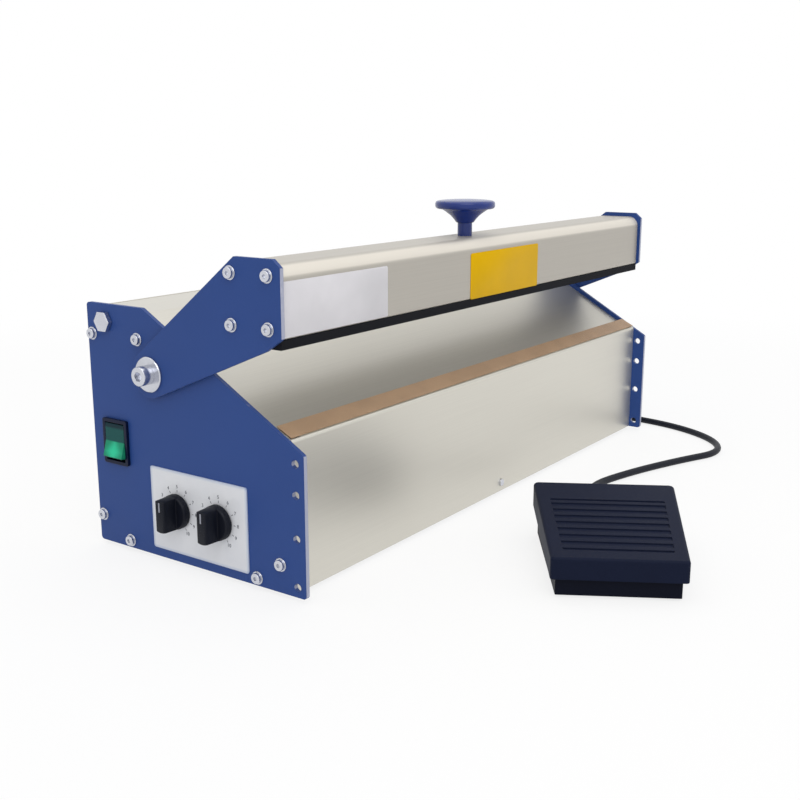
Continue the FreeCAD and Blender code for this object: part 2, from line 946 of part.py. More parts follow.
def wire_clamps():
    """Brass blocks that hold the ribbon's legs at the ends of the backing bar."""
    outer_x = inner_x - wire_end_inset - wire_thickness
    inner_end = inner_x - wire_end_inset - clamp_length
    front = seal_bar_rear - seal_bar_width
    low = flange_bottom - clamp_thickness
    block = jaw_bar(front, seal_bar_rear, low, flange_bottom, inner_end, outer_x)
    y, z = jaw(seal_bar_rear - seal_bar_width / 2, flange_bottom - clamp_thickness / 2)
    block = block.cut(rod_x(inner_end - 1, outer_x + 1, y, z, clamp_hole_radius))
    return group([block, mirrored(block)])


def tangent_on_round(y, z, side):
    """Where a line from (y, z) touches the round end of the arm, above it or below it."""
    reach_y = pivot_y - y
    reach_z = pivot_z - z
    reach = math.hypot(reach_y, reach_z)
    heading = math.atan2(reach_z, reach_y) + side * math.asin(arm_round / reach)
    run = math.sqrt(reach ** 2 - arm_round ** 2)
    return y + run * math.cos(heading), z + run * math.sin(heading)


def arm_plate():
    """The right arm plate: a round end on the pivot, and a squared head round the beam."""
    front_y = pivot_y - arm_front
    top_z = pivot_z + arm_top
    head = [
        (front_y + arm_heel_run, pivot_z + arm_heel_up),
        (front_y, pivot_z + arm_nose_up),
        (front_y, top_z - arm_chamfer_drop),
        (front_y + arm_chamfer_run, top_z),
        (front_y + arm_top_run, top_z),
    ]
    upper = tangent_on_round(head[-1][0], head[-1][1], 1)
    lower = tangent_on_round(head[0][0], head[0][1], -1)
    points = [Vector(arm_inner_x, y, z) for y, z in [lower] + head + [upper]]
    edges = [Part.makeLine(start, end) for start, end in zip(points, points[1:])]
    rear = Vector(arm_inner_x, pivot_y + arm_round, pivot_z)
    edges.append(Part.Arc(points[-1], rear, points[0]).toShape())
    plate = Part.Face(Part.Wire(edges)).extrude(Vector(arm_thickness, 0, 0))
    plate = drill_x(plate, port_places, screw_radius + screw_hole_clearance)
    return plate.cut(spigot(arm_inner_x - 1, arm_outer_x + 1, thread_clearance)).removeSplitter()


def spigot(x0, x1, clearance):
    """Shaft end with two flats, which turns the arm plates with the shaft."""
    round_end = rod_x(x0, x1, pivot_y, pivot_z, spigot_radius + clearance)
    half = spigot_flat + clearance
    tall = spigot_radius * 2
    flats = box(x0, x1, pivot_y - half, pivot_y + half, pivot_z - tall, pivot_z + tall)
    return round_end.common(flats)


def beam_profile():
    """Hollow extruded beam with a screw port in each corner and a groove for the pad."""
    rear_y = beam_front_y + beam_width
    outline = rectangle(beam_front_y, rear_y, beam_bottom_z, beam_top_z)
    radii = [beam_bottom_round, beam_bottom_round, beam_top_round, beam_top_round]
    inside = rectangle(
        beam_front_y + beam_wall, rear_y - beam_wall, beam_bottom_z + beam_wall, beam_top_z - beam_wall
    )
    inner_round = max(beam_top_round - beam_wall, 0.5)
    skin = plate_x(outline, radii, -arm_inner_x, arm_inner_x)
    hollow = plate_x(inside, [0.5, 0.5, inner_round, inner_round], -arm_inner_x, arm_inner_x)
    beam = skin.cut(hollow)
    port_outer = screw_radius + thread_clearance + port_wall
    for y, z in port_places:
        side = math.copysign(1, y - beam_mid_y)
        level = math.copysign(1, z - beam_mid_z)
        wall_y = beam_mid_y + side * (beam_width / 2 - beam_wall / 2)
        wall_z = beam_mid_z + level * (beam_height / 2 - beam_wall / 2)
        half_web = port_web / 2
        boss = rod_x(-arm_inner_x, arm_inner_x, y, z, port_outer)
        end_x = arm_inner_x
        web_y = box(-end_x, end_x, min(y, wall_y), max(y, wall_y), z - half_web, z + half_web)
        web_z = box(-end_x, end_x, y - half_web, y + half_web, min(z, wall_z), max(z, wall_z))
        beam = beam.fuse(boss.common(skin)).fuse(web_y).fuse(web_z)
    beam = drill_x(beam, port_places, screw_radius + thread_clearance)
    groove_y = beam_front_y + pad_width / 2
    groove = box(
        -arm_inner_x,
        arm_inner_x,
        groove_y - pad_rib_width / 2,
        groove_y + pad_rib_width / 2,
        beam_bottom_z,
        beam_bottom_z + pad_rib_height,
    )
    hole_radius = stud_radius + thread_clearance
    stud_hole = rod_z(beam_top_z - beam_wall - 1, beam_top_z + 1, handle_offset, beam_mid_y, hole_radius)
    return beam.cut(groove).cut(stud_hole).removeSplitter()


def pressure_pad():
    """Rubber strip under the beam, keyed into the beam's groove."""
    strip = box(
        -arm_inner_x,
        arm_inner_x,
        beam_front_y,
        beam_front_y + pad_width,
        beam_bottom_z - pad_height,
        beam_bottom_z,
    )
    middle = beam_front_y + pad_width / 2
    rib = box(
        -arm_inner_x,
        arm_inner_x,
        middle - pad_rib_width / 2 + thread_clearance,
        middle + pad_rib_width / 2 - thread_clearance,
        beam_bottom_z,
        beam_bottom_z + pad_rib_height - thread_clearance,
    )
    return merge([strip, rib])


def lift_handle():
    """Mushroom handle, hollow up its middle for the stud."""
    z0 = beam_top_z
    z1 = z0 + handle_stem
    z2 = z1 + handle_cone
    z3 = z2 + handle_disc
    bore = stud_radius + thread_clearance
    outline = [
        (bore, z0),
        (handle_stem_radius, z0),
        (handle_stem_radius, z1),
        (handle_cone_base, z1),
        (handle_cone_top, z2),
        (handle_disc_radius, z2),
        (handle_disc_radius, z3),
        (0, z3 + handle_crown),
        (0, z0 + stud_in_handle),
        (bore, z0 + stud_in_handle),
    ]
    radii = [0, 0, 0, 0, 0, handle_disc_round, handle_disc_round, 0, 0, 0]
    return turned_z(outline, radii, handle_offset, beam_mid_y)


def handle_stud():
    """Threaded stud from the handle through the beam's top wall, with its nut inside."""
    under_wall = beam_top_z - beam_wall
    stud_top = beam_top_z + stud_in_handle - 0.5
    stud = rod_z(under_wall - stud_below, stud_top, handle_offset, beam_mid_y, stud_radius)
    thread = rod_z(-1, nut_height + 1, 0, 0, stud_radius + thread_clearance)
    nut = hexagon(nut_width, nut_height).cut(thread)
    nut.translate(Vector(handle_offset, beam_mid_y, under_wall - nut_height))
    return group([stud, nut])


def end_screws(places, x, length):
    """Socket screws, each in one with its washer, at both ends of the machine."""
    top = washer_thickness + screw_head_height
    washer = peg(washer_radius, 0, washer_thickness)
    body = merge([peg(screw_radius, -length, 0), washer, peg(screw_head_radius, 0, top)])
    screw = socketed(body, top, screw_socket, screw_socket_depth)
    return group([facing_x(screw, side, side * x, y, z) for side in (-1, 1) for y, z in places])


def tie_rod():
    """Round rod between the side plates, tapped at both ends."""
    rod = rod_x(-inner_x, inner_x, tie_rod_y, tie_rod_z, tie_rod_radius)
    depth = hex_shank_length
    for side in (-1, 1):
        x0 = min(side * inner_x, side * (inner_x - depth))
        rod = rod.cut(rod_x(x0, x0 + depth, tie_rod_y, tie_rod_z, hex_shank_radius + thread_clearance))
    return rod


def tie_rod_bolts():
    bolt = hexagon(hex_width, hex_height).fuse(rod_z(-hex_shank_length, 0, 0, 0, hex_shank_radius))
    return group([facing_x(bolt, side, side * half_length, tie_rod_y, tie_rod_z) for side in (-1, 1)])


def pivot_bushes():
    """Flanged bushes in the side plates, with the flange between plate and arm."""
    bush = rod_x(half_length - bush_reach, half_length, pivot_y, pivot_z, bush_radius)
    bush = bush.fuse(rod_x(half_length, half_length + bush_flange, pivot_y, pivot_z, bush_flange_radius))
    bore = shaft_radius + shaft_running
    outer_x = half_length + bush_flange + 1
    bush = bush.cut(rod_x(half_length - bush_reach - 1, outer_x, pivot_y, pivot_z, bore))
    return group([bush.removeSplitter(), mirrored(bush.removeSplitter())])


def pivot_shaft():
    """Shaft through both side plates, with a flatted spigot and a tapped hole at each end."""
    shaft = rod_x(-arm_inner_x, arm_inner_x, pivot_y, pivot_z, shaft_radius)
    shaft = shaft.fuse(spigot(-arm_outer_x, arm_outer_x, 0))
    for side in (-1, 1):
        end_x = arm_outer_x - pivot_screw_length
        x0 = min(side * arm_outer_x, side * end_x)
        thread = pivot_screw_radius + thread_clearance
        hole = rod_x(x0, x0 + pivot_screw_length, pivot_y, pivot_z, thread)
        shaft = shaft.cut(hole)
    return shaft.removeSplitter()


def pivot_washers():
    ring = rod_z(0, pivot_washer_thickness, 0, 0, pivot_washer_radius)
    bore = pivot_screw_radius + screw_hole_clearance
    ring = ring.cut(rod_z(-1, pivot_washer_thickness + 1, 0, 0, bore))
    return group([facing_x(ring, side, side * arm_outer_x, pivot_y, pivot_z) for side in (-1, 1)])


def pivot_screws():
    length = pivot_screw_length - 1 + pivot_washer_thickness
    head = rod_z(0, pivot_head_height, 0, 0, pivot_head_radius)
    body = head.fuse(rod_z(-length, 0, 0, 0, pivot_screw_radius))
    screw = socketed(body, pivot_head_height, pivot_socket, pivot_head_height / 2)
    x = arm_outer_x + pivot_washer_thickness
    return group([facing_x(screw, side, side * x, pivot_y, pivot_z) for side in (-1, 1)])


def opened(shape):
    """Turns a piece made in the closed position back to the open rest position."""
    turned = shape.copy()
    turned.rotate(Vector(0, pivot_y, pivot_z), Vector(1, 0, 0), -math.degrees(closing_angle))
    return turned


def bell_cranks():
    """Hub, magnet arm and spring arm in one, clamped on the pivot shaft near each end."""
    x0 = crank_x - crank_thickness / 2
    x1 = crank_x + crank_thickness / 2
    half = crank_arm_width / 2
    low_z = pivot_z - magnet_drop - armature_height / 2
    magnet_arm = box(x0, x1, pivot_y - half, pivot_y + half, low_z, pivot_z)
    spring_end_y = pivot_y + spring_arm
    spring_half = spring_arm_width / 2
    outline = [
        (pivot_y, pivot_z - hub_radius),
        (spring_end_y, pivot_z - spring_half),
        (spring_end_y, pivot_z + spring_half),
        (pivot_y, pivot_z + hub_radius),
    ]
    rear_arm = plate_x(outline, [0] * 4, x0, x1).fuse(rod_x(x0, x1, spring_end_y, pivot_z, spring_half))
    pin_x = crank_x + spring_pin_reach
    pin = rod_x(x0, pin_x, spring_end_y, pivot_z, spring_pin_radius)
    rear_arm = rear_arm.fuse(pin)
    drop = math.degrees(closing_angle - spring_arm_sag)
    rear_arm.rotate(Vector(0, pivot_y, pivot_z), Vector(1, 0, 0), drop)
    hub = rod_x(crank_x - hub_length / 2, crank_x + hub_length / 2, pivot_y, pivot_z, hub_radius)
    bore = rod_x(0, half_length, pivot_y, pivot_z, shaft_radius + thread_clearance)
    crank = merge([hub, magnet_arm, rear_arm]).cut(bore)
    return group([opened(crank), opened(mirrored(crank))])


def magnet_x():
    return crank_x - magnet_inset


def armature_plates():
    """Steel plates on the cranks that meet the hold magnets when the jaw is shut."""
    y0 = pivot_y + crank_arm_width / 2
    z = pivot_z - magnet_drop
    x1 = crank_x + crank_thickness / 2
    plate = box(
        x1 - armature_width,
        x1,
        y0,
        y0 + armature_thickness,
        z - armature_height / 2,
        z + armature_height / 2,
    )
    return group([opened(plate), opened(mirrored(plate))])


def magnet_face_y():
    return pivot_y + crank_arm_width / 2 + armature_thickness + magnet_gap


def magnet_cores():
    """Pot cores whose open face meets the armature."""
    y0 = magnet_face_y()
    z = pivot_z - magnet_drop
    x = magnet_x()
    core = rod_y(y0, y0 + magnet_depth, x, z, magnet_radius)
    pocket = rod_y(y0, y0 + magnet_pocket, x, z, magnet_radius - magnet_shell)
    pocket = pocket.cut(rod_y(y0, y0 + magnet_pocket, x, z, magnet_core_radius))
    core = core.cut(pocket)
    return group([core, mirrored(core)])


def magnet_coils():
    """Ring windings in the pot cores."""
    y0 = magnet_face_y() + 1.0
    y1 = magnet_face_y() + magnet_pocket
    z = pivot_z - magnet_drop
    coil = rod_y(y0, y1, magnet_x(), z, magnet_radius - magnet_shell - winding_clearance)
    coil = coil.cut(rod_y(y0 - 1, y1 + 1, magnet_x(), z, magnet_core_radius + winding_clearance))
    return group([coil, mirrored(coil)])


def magnet_brackets():
    """Angle brackets that stand the hold magnets on the base."""
    y0 = magnet_face_y() + magnet_depth
    z1 = pivot_z - magnet_drop + magnet_radius
    x0 = magnet_x() - magnet_radius
    x1 = magnet_x() + magnet_radius
    y1 = y0 + bracket_thickness
    points = [(y1, z1), (y1, base_top_z), (y0 - bracket_foot, base_top_z)]
    outline, radii = folded_outline(points, bracket_thickness, sheet_bend)
    bracket = plate_x(outline, radii, x0, x1)
    return group([bracket, mirrored(bracket)])


def transformer_core():
    """Laminated core on two feet, with a window each side of its middle pole."""
    y0 = back(core_back) - core_depth / 2
    z0 = base_top_z + core_foot
    core = box(-core_width / 2, core_width / 2, y0, y0 + core_depth, z0, z0 + core_height)
    for side in (-1, 1):
        a = side * core_pole / 2
        b = side * (core_width / 2 - core_leg)
        window_top = z0 + core_height - core_leg
        window = box(min(a, b), max(a, b), y0 - 1, y0 + core_depth + 1, z0 + core_leg, window_top)
        core = core.cut(window)
    feet = []
    for side in (-1, 1):
        x = side * (core_width / 2 - core_leg / 2)
        y1 = y0 + core_depth + core_foot
        feet.append(box(x - core_leg / 2, x + core_leg / 2, y0 - core_foot, y1, base_top_z, z0))
    return merge([core] + feet)


def transformer_winding():
    """Wound bobbin round the middle pole, standing out in front and behind."""
    y0 = back(core_back) - core_depth / 2
    y1 = y0 + core_depth
    z0 = base_top_z + core_foot + core_leg + winding_clearance
    z1 = base_top_z + core_foot + core_height - core_leg - winding_clearance
    half = core_width / 2 - core_leg - winding_clearance
    outline = rectangle(-half, half, y0 - winding_overhang, y1 + winding_overhang)
    winding = plate_z(outline, [winding_corner] * 4, z0, z1)
    pole = core_pole / 2 + winding_clearance
    return winding.cut(box(-pole, pole, y0 - winding_clearance, y1 + winding_clearance, z0 - 1, z1 + 1))


def timer_potentiometers():
    """Bodies and threaded bushings of the two timer controls."""
    pieces = []
    for y, z in knob_places:
        body = rod_x(-inner_x, pot_body_depth - inner_x, y, z, pot_body_radius)
        bushing = rod_x(-inner_x - pot_bush_length, -inner_x, y, z, pot_bush_radius)
        bore = pot_shaft_radius + pot_running
        hole = rod_x(-inner_x - pot_bush_length, pot_body_depth / 2 - inner_x, y, z, bore)
        pieces.append(body.fuse(bushing).cut(hole).removeSplitter())
    return group(pieces)


def potentiometer_nuts():
    ring = rod_z(-1, pot_nut_height + 1, 0, 0, pot_bush_radius + thread_clearance)
    nut = hexagon(pot_nut_width, pot_nut_height).cut(ring)
    return group([facing_x(nut, -1, control_face_x, y, z) for y, z in knob_places])


def pot_shaft(place):
    y, z = place
    tip_x = control_face_x - knob_gap - knob_bore_depth
    return rod_x(tip_x, pot_body_depth / 2 - inner_x - 0.1, y, z, pot_shaft_radius)


def timer_knob(place):
    """Pointer knob: a round skirt with an upright grip bar, hollow over the nut."""
    skirt = turned_z(
        [(0, 0), (knob_radius, 0), (knob_radius - 1, knob_skirt), (0, knob_skirt)], [0, 0, 0.8, 0], 0, 0
    )
    half = knob_bar_width / 2
    cap = rod_z(knob_skirt - 1, knob_height, 0, 0, knob_radius - 1)
    bar = plate_y(
        rectangle(-knob_radius, knob_radius, knob_skirt - 1, knob_height),
        [0, 0, knob_bar_round, knob_bar_round],
        -half,
        half,
    )
    knob = skirt.fuse(cap.common(bar))
    knob = knob.cut(rod_z(-1, knob_recess, 0, 0, knob_recess_radius))
    knob = knob.cut(rod_z(-1, knob_bore_depth, 0, 0, pot_shaft_radius + knob_fit))
    return facing_x(knob.removeSplitter(), -1, control_face_x - knob_gap, place[0], place[1])


def timer_board():
    """Circuit board behind the two controls, with a relay, a terminal row and a capacitor."""
    x0 = pot_body_depth - inner_x
    x1 = x0 + board_thickness
    board_z = control_z + board_rise - board_height / 2
    board_y = control_y - board_width / 2
    board = box(x0, x1, board_y, board_y + board_width, board_z, board_z + board_height)
    relay_y = control_y - relay_front
    relay_z = control_z + board_rise
    relay_top = relay_z + relay_height
    relay = box(x1, x1 + relay_depth, relay_y, relay_y + relay_width, relay_z, relay_top)
    row_y = control_y - terminal_front
    row_z = relay_top - terminal_height
    terminals = box(x1, x1 + terminal_depth, row_y, row_y + terminal_width, row_z, relay_top)
    can_y = control_y + capacitor_back
    capacitor = rod_x(x1, x1 + capacitor_length, can_y, control_z - capacitor_drop, capacitor_radius)
    return merge([board, relay, terminals, capacitor])


def control_plate():
    """Thin dial plate on the left side plate, behind the knobs."""
    outline = rectangle(
        control_y - control_width / 2,
        control_y + control_width / 2,
        control_z - control_height / 2,
        control_z + control_height / 2,
    )
    plate = plate_x(outline, [control_corner] * 4, control_face_x, -half_length)
    for y, z in knob_places:
        hole_radius = pot_bush_radius + thread_clearance
        plate = plate.cut(rod_x(control_face_x - 1, 1 - half_length, y, z, hole_radius))
    return plate


switch_axis_x = rocker_inset - half_length
rocker_face = rocker_inset + switch_bezel
rocker_half_width = switch_body_width / 2 - switch_wall - rocker_side_gap


def switch_housing():
    """Bezel and body of the power switch in one, open at the front for the rocker."""
    bezel = plate_x(
        rectangle(
            switch_y - switch_width / 2,
            switch_y + switch_width / 2,
            switch_z - switch_height / 2,
            switch_z + switch_height / 2,
        ),
        [switch_corner] * 4,
        -half_length - switch_bezel,
        -half_length,
    )
    body = box(
        -half_length,
        switch_depth - half_length,
        switch_y - switch_body_width / 2,
        switch_y + switch_body_width / 2,
        switch_z - switch_body_height / 2,
        switch_z + switch_body_height / 2,
    )
    half_width = switch_body_width / 2 - switch_wall
    half_height = switch_body_height / 2 - switch_wall
    cavity = box(
        -half_length - switch_bezel - 1,
        switch_cavity - half_length,
        switch_y - half_width,
        switch_y + half_width,
        switch_z - half_height,
        switch_z + half_height,
    )
    pin_reach = rocker_half_width + rocker_side_gap + rocker_pin_reach + 0.1
    hole_radius = rocker_pin_radius + rocker_running
    pin_hole = rod_y(switch_y - pin_reach, switch_y + pin_reach, switch_axis_x, switch_z, hole_radius)
    return bezel.fuse(body).cut(cavity).cut(pin_hole).removeSplitter()


def power_rocker():
    """Rocker with two faces that meet in a shallow valley, its top pressed in at rest."""
    half_turn = math.radians(rocker_travel / 2)
    valley = rocker_face / math.cos(half_turn)
    ends = valley + rocker_half_height * math.tan(half_turn)
    outline = [
        (-valley, 0),
        (-ends, rocker_half_height),
        (rocker_shoulder, rocker_half_height),
        (rocker_depth, rocker_heel),
        (rocker_depth, -rocker_heel),
        (rocker_shoulder, -rocker_half_height),
        (-ends, -rocker_half_height),
    ]
    block = plate_y(outline, [0, 0.8, 1, 1, 1, 1, 0.8], -rocker_half_width, rocker_half_width)
    reach = rocker_half_width + rocker_side_gap + rocker_pin_reach
    block = block.fuse(rod_y(-reach, reach, 0, 0, rocker_pin_radius)).removeSplitter()
    return moved(block, switch_axis_x, switch_y, switch_z, Vector(0, 1, 0), rocker_travel / 2)


def mains_inlet():
    """Three-pin inlet with a fuse drawer line, screwed to the rear panel."""
    z = up(inlet_up)
    flange = plate_y(
        rectangle(
            inlet_x - inlet_flange_width / 2,
            inlet_x + inlet_flange_width / 2,
            z - inlet_flange_height / 2,
            z + inlet_flange_height / 2,
        ),
        [inlet_corner] * 4,
        rear_face_y,
        rear_face_y + inlet_flange,
    )
    body = box(
        inlet_x - inlet_width / 2,
        inlet_x + inlet_width / 2,
        rear_face_y - inlet_depth,
        rear_face_y,
        z - inlet_height / 2,
        z + inlet_height / 2,
    )
    half_width = inlet_width / 2 - inlet_wall
    half_height = inlet_height / 2 - inlet_wall
    cavity = plate_y(
        [
            (inlet_x - half_width, z - half_height),
            (inlet_x + half_width, z - half_height),
            (inlet_x + half_width, z + half_height / 2),
            (inlet_x + half_width * 0.7, z + half_height),
            (inlet_x - half_width * 0.7, z + half_height),
            (inlet_x - half_width, z + half_height / 2),
        ],
        [1.0, 1.0, 0, 0, 0, 0],
        rear_face_y + inlet_flange - inlet_cavity,
        rear_face_y + inlet_flange + 1,
    )
    inlet = flange.fuse(body).cut(cavity)
    for side in (-1, 0, 1):
        pin_x = inlet_x + side * inlet_pin_spread - inlet_pin_thickness / 2
        pin_z = z + (inlet_pin_offset if side == 0 else -inlet_pin_offset) - inlet_pin_width / 2
        floor_y = rear_face_y + inlet_flange - inlet_cavity
        pin_end = floor_y + inlet_pin
        pin = box(
            pin_x, pin_x + inlet_pin_thickness, floor_y - 1, pin_end, pin_z, pin_z + inlet_pin_width
        )
        inlet = inlet.fuse(pin)
    outer_y = rear_face_y + inlet_flange + 1
    small_hole = small_screw_radius + thread_clearance
    return drill_y(inlet, inlet_screws(), small_hole, rear_face_y - 1, outer_y).removeSplitter()


def panel_screws():
    """Small screws of the front slot, the rear panel and the mains inlet."""
    shank = peg(small_screw_radius, -small_screw_length, 0)
    screw = merge([shank, peg(small_head_radius, 0, small_head_height)])
    screws = [facing_y(screw, -1, 0, front_face_y, up(front_slot_up))]
    for x, z in cover_drop_screws():
        screws.append(facing_y(screw, 1, x, rear_face_y, z))
    for x, z in inlet_screws():
        screws.append(facing_y(screw, 1, x, rear_face_y + inlet_flange, z))
    return group(screws)


def pedal_cord_gland():
    """Cable gland on the rear panel, with its nut inside."""
    nut = hexagon(gland_nut_width, gland_nut_height)
    thread_depth = sheet + gland_lock + gland_spare_thread
    thread = rod_z(-thread_depth, 0, 0, 0, gland_thread_radius)
    dome = turned_z(
        [
            (0, gland_nut_height),
            (gland_dome_radius, gland_nut_height),
            (gland_dome_radius, gland_length - gland_tip),
            (lead_radius + gland_tip_wall, gland_length),
            (0, gland_length),
        ],
        [0, 0, 1.5, 0, 0],
        0,
        0,
    )
    body = merge([nut, thread, dome])
    bore = rod_z(-1, gland_lock + 1, 0, 0, gland_thread_radius + thread_clearance)
    lock = hexagon(gland_nut_width, gland_lock).cut(bore)
    lock.translate(Vector(0, 0, -sheet - gland_lock))
    z = up(gland_up)
    return group([facing_y(piece, 1, gland_x, rear_face_y, z) for piece in (body, lock)])


def rubber_feet():
    """Round pads under the corners of the base and under the transformer in the middle."""
    x = inner_x - foot_inset
    y0 = back(front_recess + foot_inset)
    y1 = back(machine_depth - foot_inset)
    places = [(-x, y0), (x, y0), (-x, y1), (x, y1), (0, 0)]
    pieces = []
    for foot_x, foot_y in places:
        foot = prism(foot_sides, foot_radius, 0, base_bottom_z)
        foot.translate(Vector(foot_x, foot_y, 0))
        pieces.append(foot)
    return group(pieces)


# Foot switch. Its own axes: x across the width, y from the front edge to the back, z up.
pedal_slope = math.atan2(pedal_back_height - pedal_front_height, pedal_length)
pedal_inset = pedal_wall + pedal_play
hinge_back = pedal_length - hinge_inset


def on_floor(shape):
    """Moves a piece of the foot switch from its own axes to its place on the table."""
    return moved(shape, pedal_x, pedal_y, 0, Vector(0, 0, 1), pedal_turn)


def floor_point(x, y, z):
    turn = math.radians(pedal_turn)
    cosine = math.cos(turn)
    sine = math.sin(turn)
    return Vector(pedal_x + x * cosine - y * sine, pedal_y + x * sine + y * cosine, z)


def pedal_half_width(y):
    share = y / pedal_length
    return (pedal_front_width + (pedal_back_width - pedal_front_width) * share) / 2


def pedal_outline(inset):
    front = pedal_half_width(inset) - inset
    rear = pedal_half_width(pedal_length - inset) - inset
    return [(-front, inset), (front, inset), (rear, pedal_length - inset), (-rear, pedal_length - inset)]


def pedal_radii(inset):
    front = max(pedal_front_round - inset, 0.8)
    rear = max(pedal_back_round - inset, 0.8)
    return [front, front, rear, rear]


def wedge(y0, z0, y1, z1, low):
    """Everything between a low level and a plane that rises from front to back."""
    reach = max(pedal_front_width, pedal_back_width)
    return plate_x([(y0, low), (y1, low), (y1, z1), (y0, z0)], [0] * 4, -reach, reach)


def pedal_top(y):
    return pedal_front_height + y * math.tan(pedal_slope)


def pedal_cover():
    """Hollow lid with a ribbed tread, which turns down about the pin at its back."""
    tall = pedal_back_height + 20
    block = plate_z(pedal_outline(0), pedal_radii(0), 0, tall)
    block = block.common(wedge(-5, pedal_top(-5), pedal_length + 5, pedal_top(pedal_length + 5), -5))
    top_edges = [edge for edge in block.Edges if edge.BoundBox.ZMin > pedal_front_height - 1]
    block = block.makeFillet(pedal_edge_round, top_edges)
    rise = (pedal_skirt_back - pedal_skirt_front) / pedal_length
    skirt_rear = pedal_skirt_back + 5 * rise
    under = wedge(-5, pedal_skirt_front - 5 * rise, pedal_length + 5, skirt_rear, -10)
    block = block.cut(under)
    hollow = plate_z(pedal_outline(pedal_wall), pedal_radii(pedal_wall), -1, tall)
    roof = wedge(
        -5, pedal_top(-5) - pedal_wall, pedal_length + 5, pedal_top(pedal_length + 5) - pedal_wall, -5
    )
    lid = block.cut(hollow.common(roof))
    lid = lid.cut(tread_recess())
    lug_x = hinge_ear_spread + hinge_ear_thickness + hinge_lug_gap
    for side in (-1, 1):
        x0 = min(side * lug_x, side * (lug_x + hinge_ear_thickness))
        lug = hinge_arm(x0, pedal_top(hinge_back) - pedal_wall / 2)
        lid = lid.fuse(lug)
    reach = pedal_front_width / 2
    pin_hole = rod_x(-reach, reach, hinge_back, hinge_up, hinge_pin_radius + hinge_running)
    return on_floor(lid.cut(pin_hole).removeSplitter())


def hinge_arm(x0, z1):
    """A lug from the pin up to a level."""
    x1 = x0 + hinge_ear_thickness
    y0 = hinge_back - hinge_ear_radius
    y1 = hinge_back + hinge_ear_radius
    bar = box(x0, x1, y0, y1, min(hinge_up, z1), max(hinge_up, z1))
    return bar.fuse(rod_x(x0, x1, hinge_back, hinge_up, hinge_ear_radius))


def tread_recess():
    """The sunk field of the tread, without its cross ribs."""
    front = tread_front_border
    rear = pedal_length - tread_back_border
    outline = [
        (-pedal_half_width(front) + tread_border, front),
        (pedal_half_width(front) - tread_border, front),
        (pedal_half_width(rear) - tread_border, rear),
        (tread_border - pedal_half_width(rear), rear),
    ]
    tall = pedal_back_height + 20
    field = plate_z(outline, [tread_corner] * 4, -5, tall)
    sunk = wedge(0, pedal_top(0) - tread_depth, pedal_length, pedal_top(pedal_length) - tread_depth, -10)
    field = field.cut(sunk)
    pitch = (rear - front) / tread_ribs
    for index in range(tread_ribs):
        middle = front + (index + 0.5) * pitch
        y0 = middle - tread_rib_width / 2
        rib = box(-pedal_back_width, pedal_back_width, y0, y0 + tread_rib_width, -10, tall)
        field = field.cut(rib)
    return field


def pedal_base():
    """Tray with ears for the hinge pin, open at the back for the grommet."""
    low = pedal_feet_height
    outer = plate_z(pedal_outline(pedal_inset), pedal_radii(pedal_inset), low, pedal_base_back)
    rise = (pedal_base_back - pedal_base_front) / pedal_length
    top_rear = pedal_base_back + 5 * rise
    outer = outer.common(wedge(-5, pedal_base_front - 5 * rise, pedal_length + 5, top_rear, -5))
    inset = pedal_inset + pedal_wall
    inner = plate_z(pedal_outline(inset), pedal_radii(inset), low + pedal_floor, pedal_back_height)
    tray = outer.cut(inner)
    for side in (-1, 1):
        x0 = min(side * hinge_ear_spread, side * (hinge_ear_spread + hinge_ear_thickness))
        tray = tray.fuse(hinge_arm(x0, low + pedal_floor / 2))
    reach = pedal_front_width / 2
    pin_hole = rod_x(-reach, reach, hinge_back, hinge_up, hinge_pin_radius + thread_clearance)
    rear_y = pedal_length - pedal_inset
    hole_radius = grommet_radius + thread_clearance
    lead_hole = rod_y(rear_y - pedal_wall - 1, rear_y + 1, 0, grommet_up, hole_radius)
    return on_floor(tray.cut(pin_hole).cut(lead_hole).removeSplitter())


def pedal_hinge_pin():
    reach = hinge_ear_spread + hinge_ear_thickness * 2 + hinge_lug_gap + 1
    return on_floor(rod_x(-reach, reach, hinge_back, hinge_up, hinge_pin_radius))


def pedal_spring():
    """Compression spring between the tray's floor and the lid."""
    z0 = pedal_feet_height + pedal_floor + pedal_spring_wire
    y0 = pedal_spring_back - pedal_spring_radius
    z1 = pedal_top(y0) - pedal_wall - pedal_spring_wire - pedal_spring_gap
    coil = helix_points(0, pedal_spring_back, z0, z1, pedal_spring_radius, pedal_spring_turns)
    return on_floor(bent_wire(coil, pedal_spring_wire))


def pedal_switch():
    """Snap switch on the tray's floor, with its plunger under the lid."""
    z0 = pedal_feet_height + pedal_floor
    front = pedal_switch_back - snap_front
    drop = (hinge_back - front) * math.tan(math.radians(pedal_travel))
    z2 = pedal_top(front) - pedal_wall - drop - plunger_gap
    z1 = z2 - plunger_rise
    rear = front + snap_depth
    body = box(-snap_width / 2, snap_width / 2, front, rear, z0, z1)
    plunger = box(-plunger_width / 2, plunger_width / 2, front + 1, front + 1 + plunger_depth, z1, z2)
    pieces = [body, plunger]
    tab_z = z0 + tab_up
    for x in (-tab_spread, tab_spread):
        x0 = x - tab_width / 2
        pieces.append(box(x0, x0 + tab_width, rear, rear + tab_length, tab_z, tab_z + tab_thickness))
    return on_floor(merge(pieces))


def pedal_feet():
    """Rubber pads under the tray's corners."""
    front = pedal_half_width(pedal_feet_inset) - pedal_feet_inset
    rear = pedal_half_width(pedal_length - pedal_feet_inset) - pedal_feet_inset
    places = [
        (-front, pedal_feet_inset),
        (front, pedal_feet_inset),
        (rear, pedal_length - pedal_feet_inset),
        (-rear, pedal_length - pedal_feet_inset),
    ]
    return group([on_floor(rod_z(0, pedal_feet_height, x, y, pedal_feet_radius)) for x, y in places])


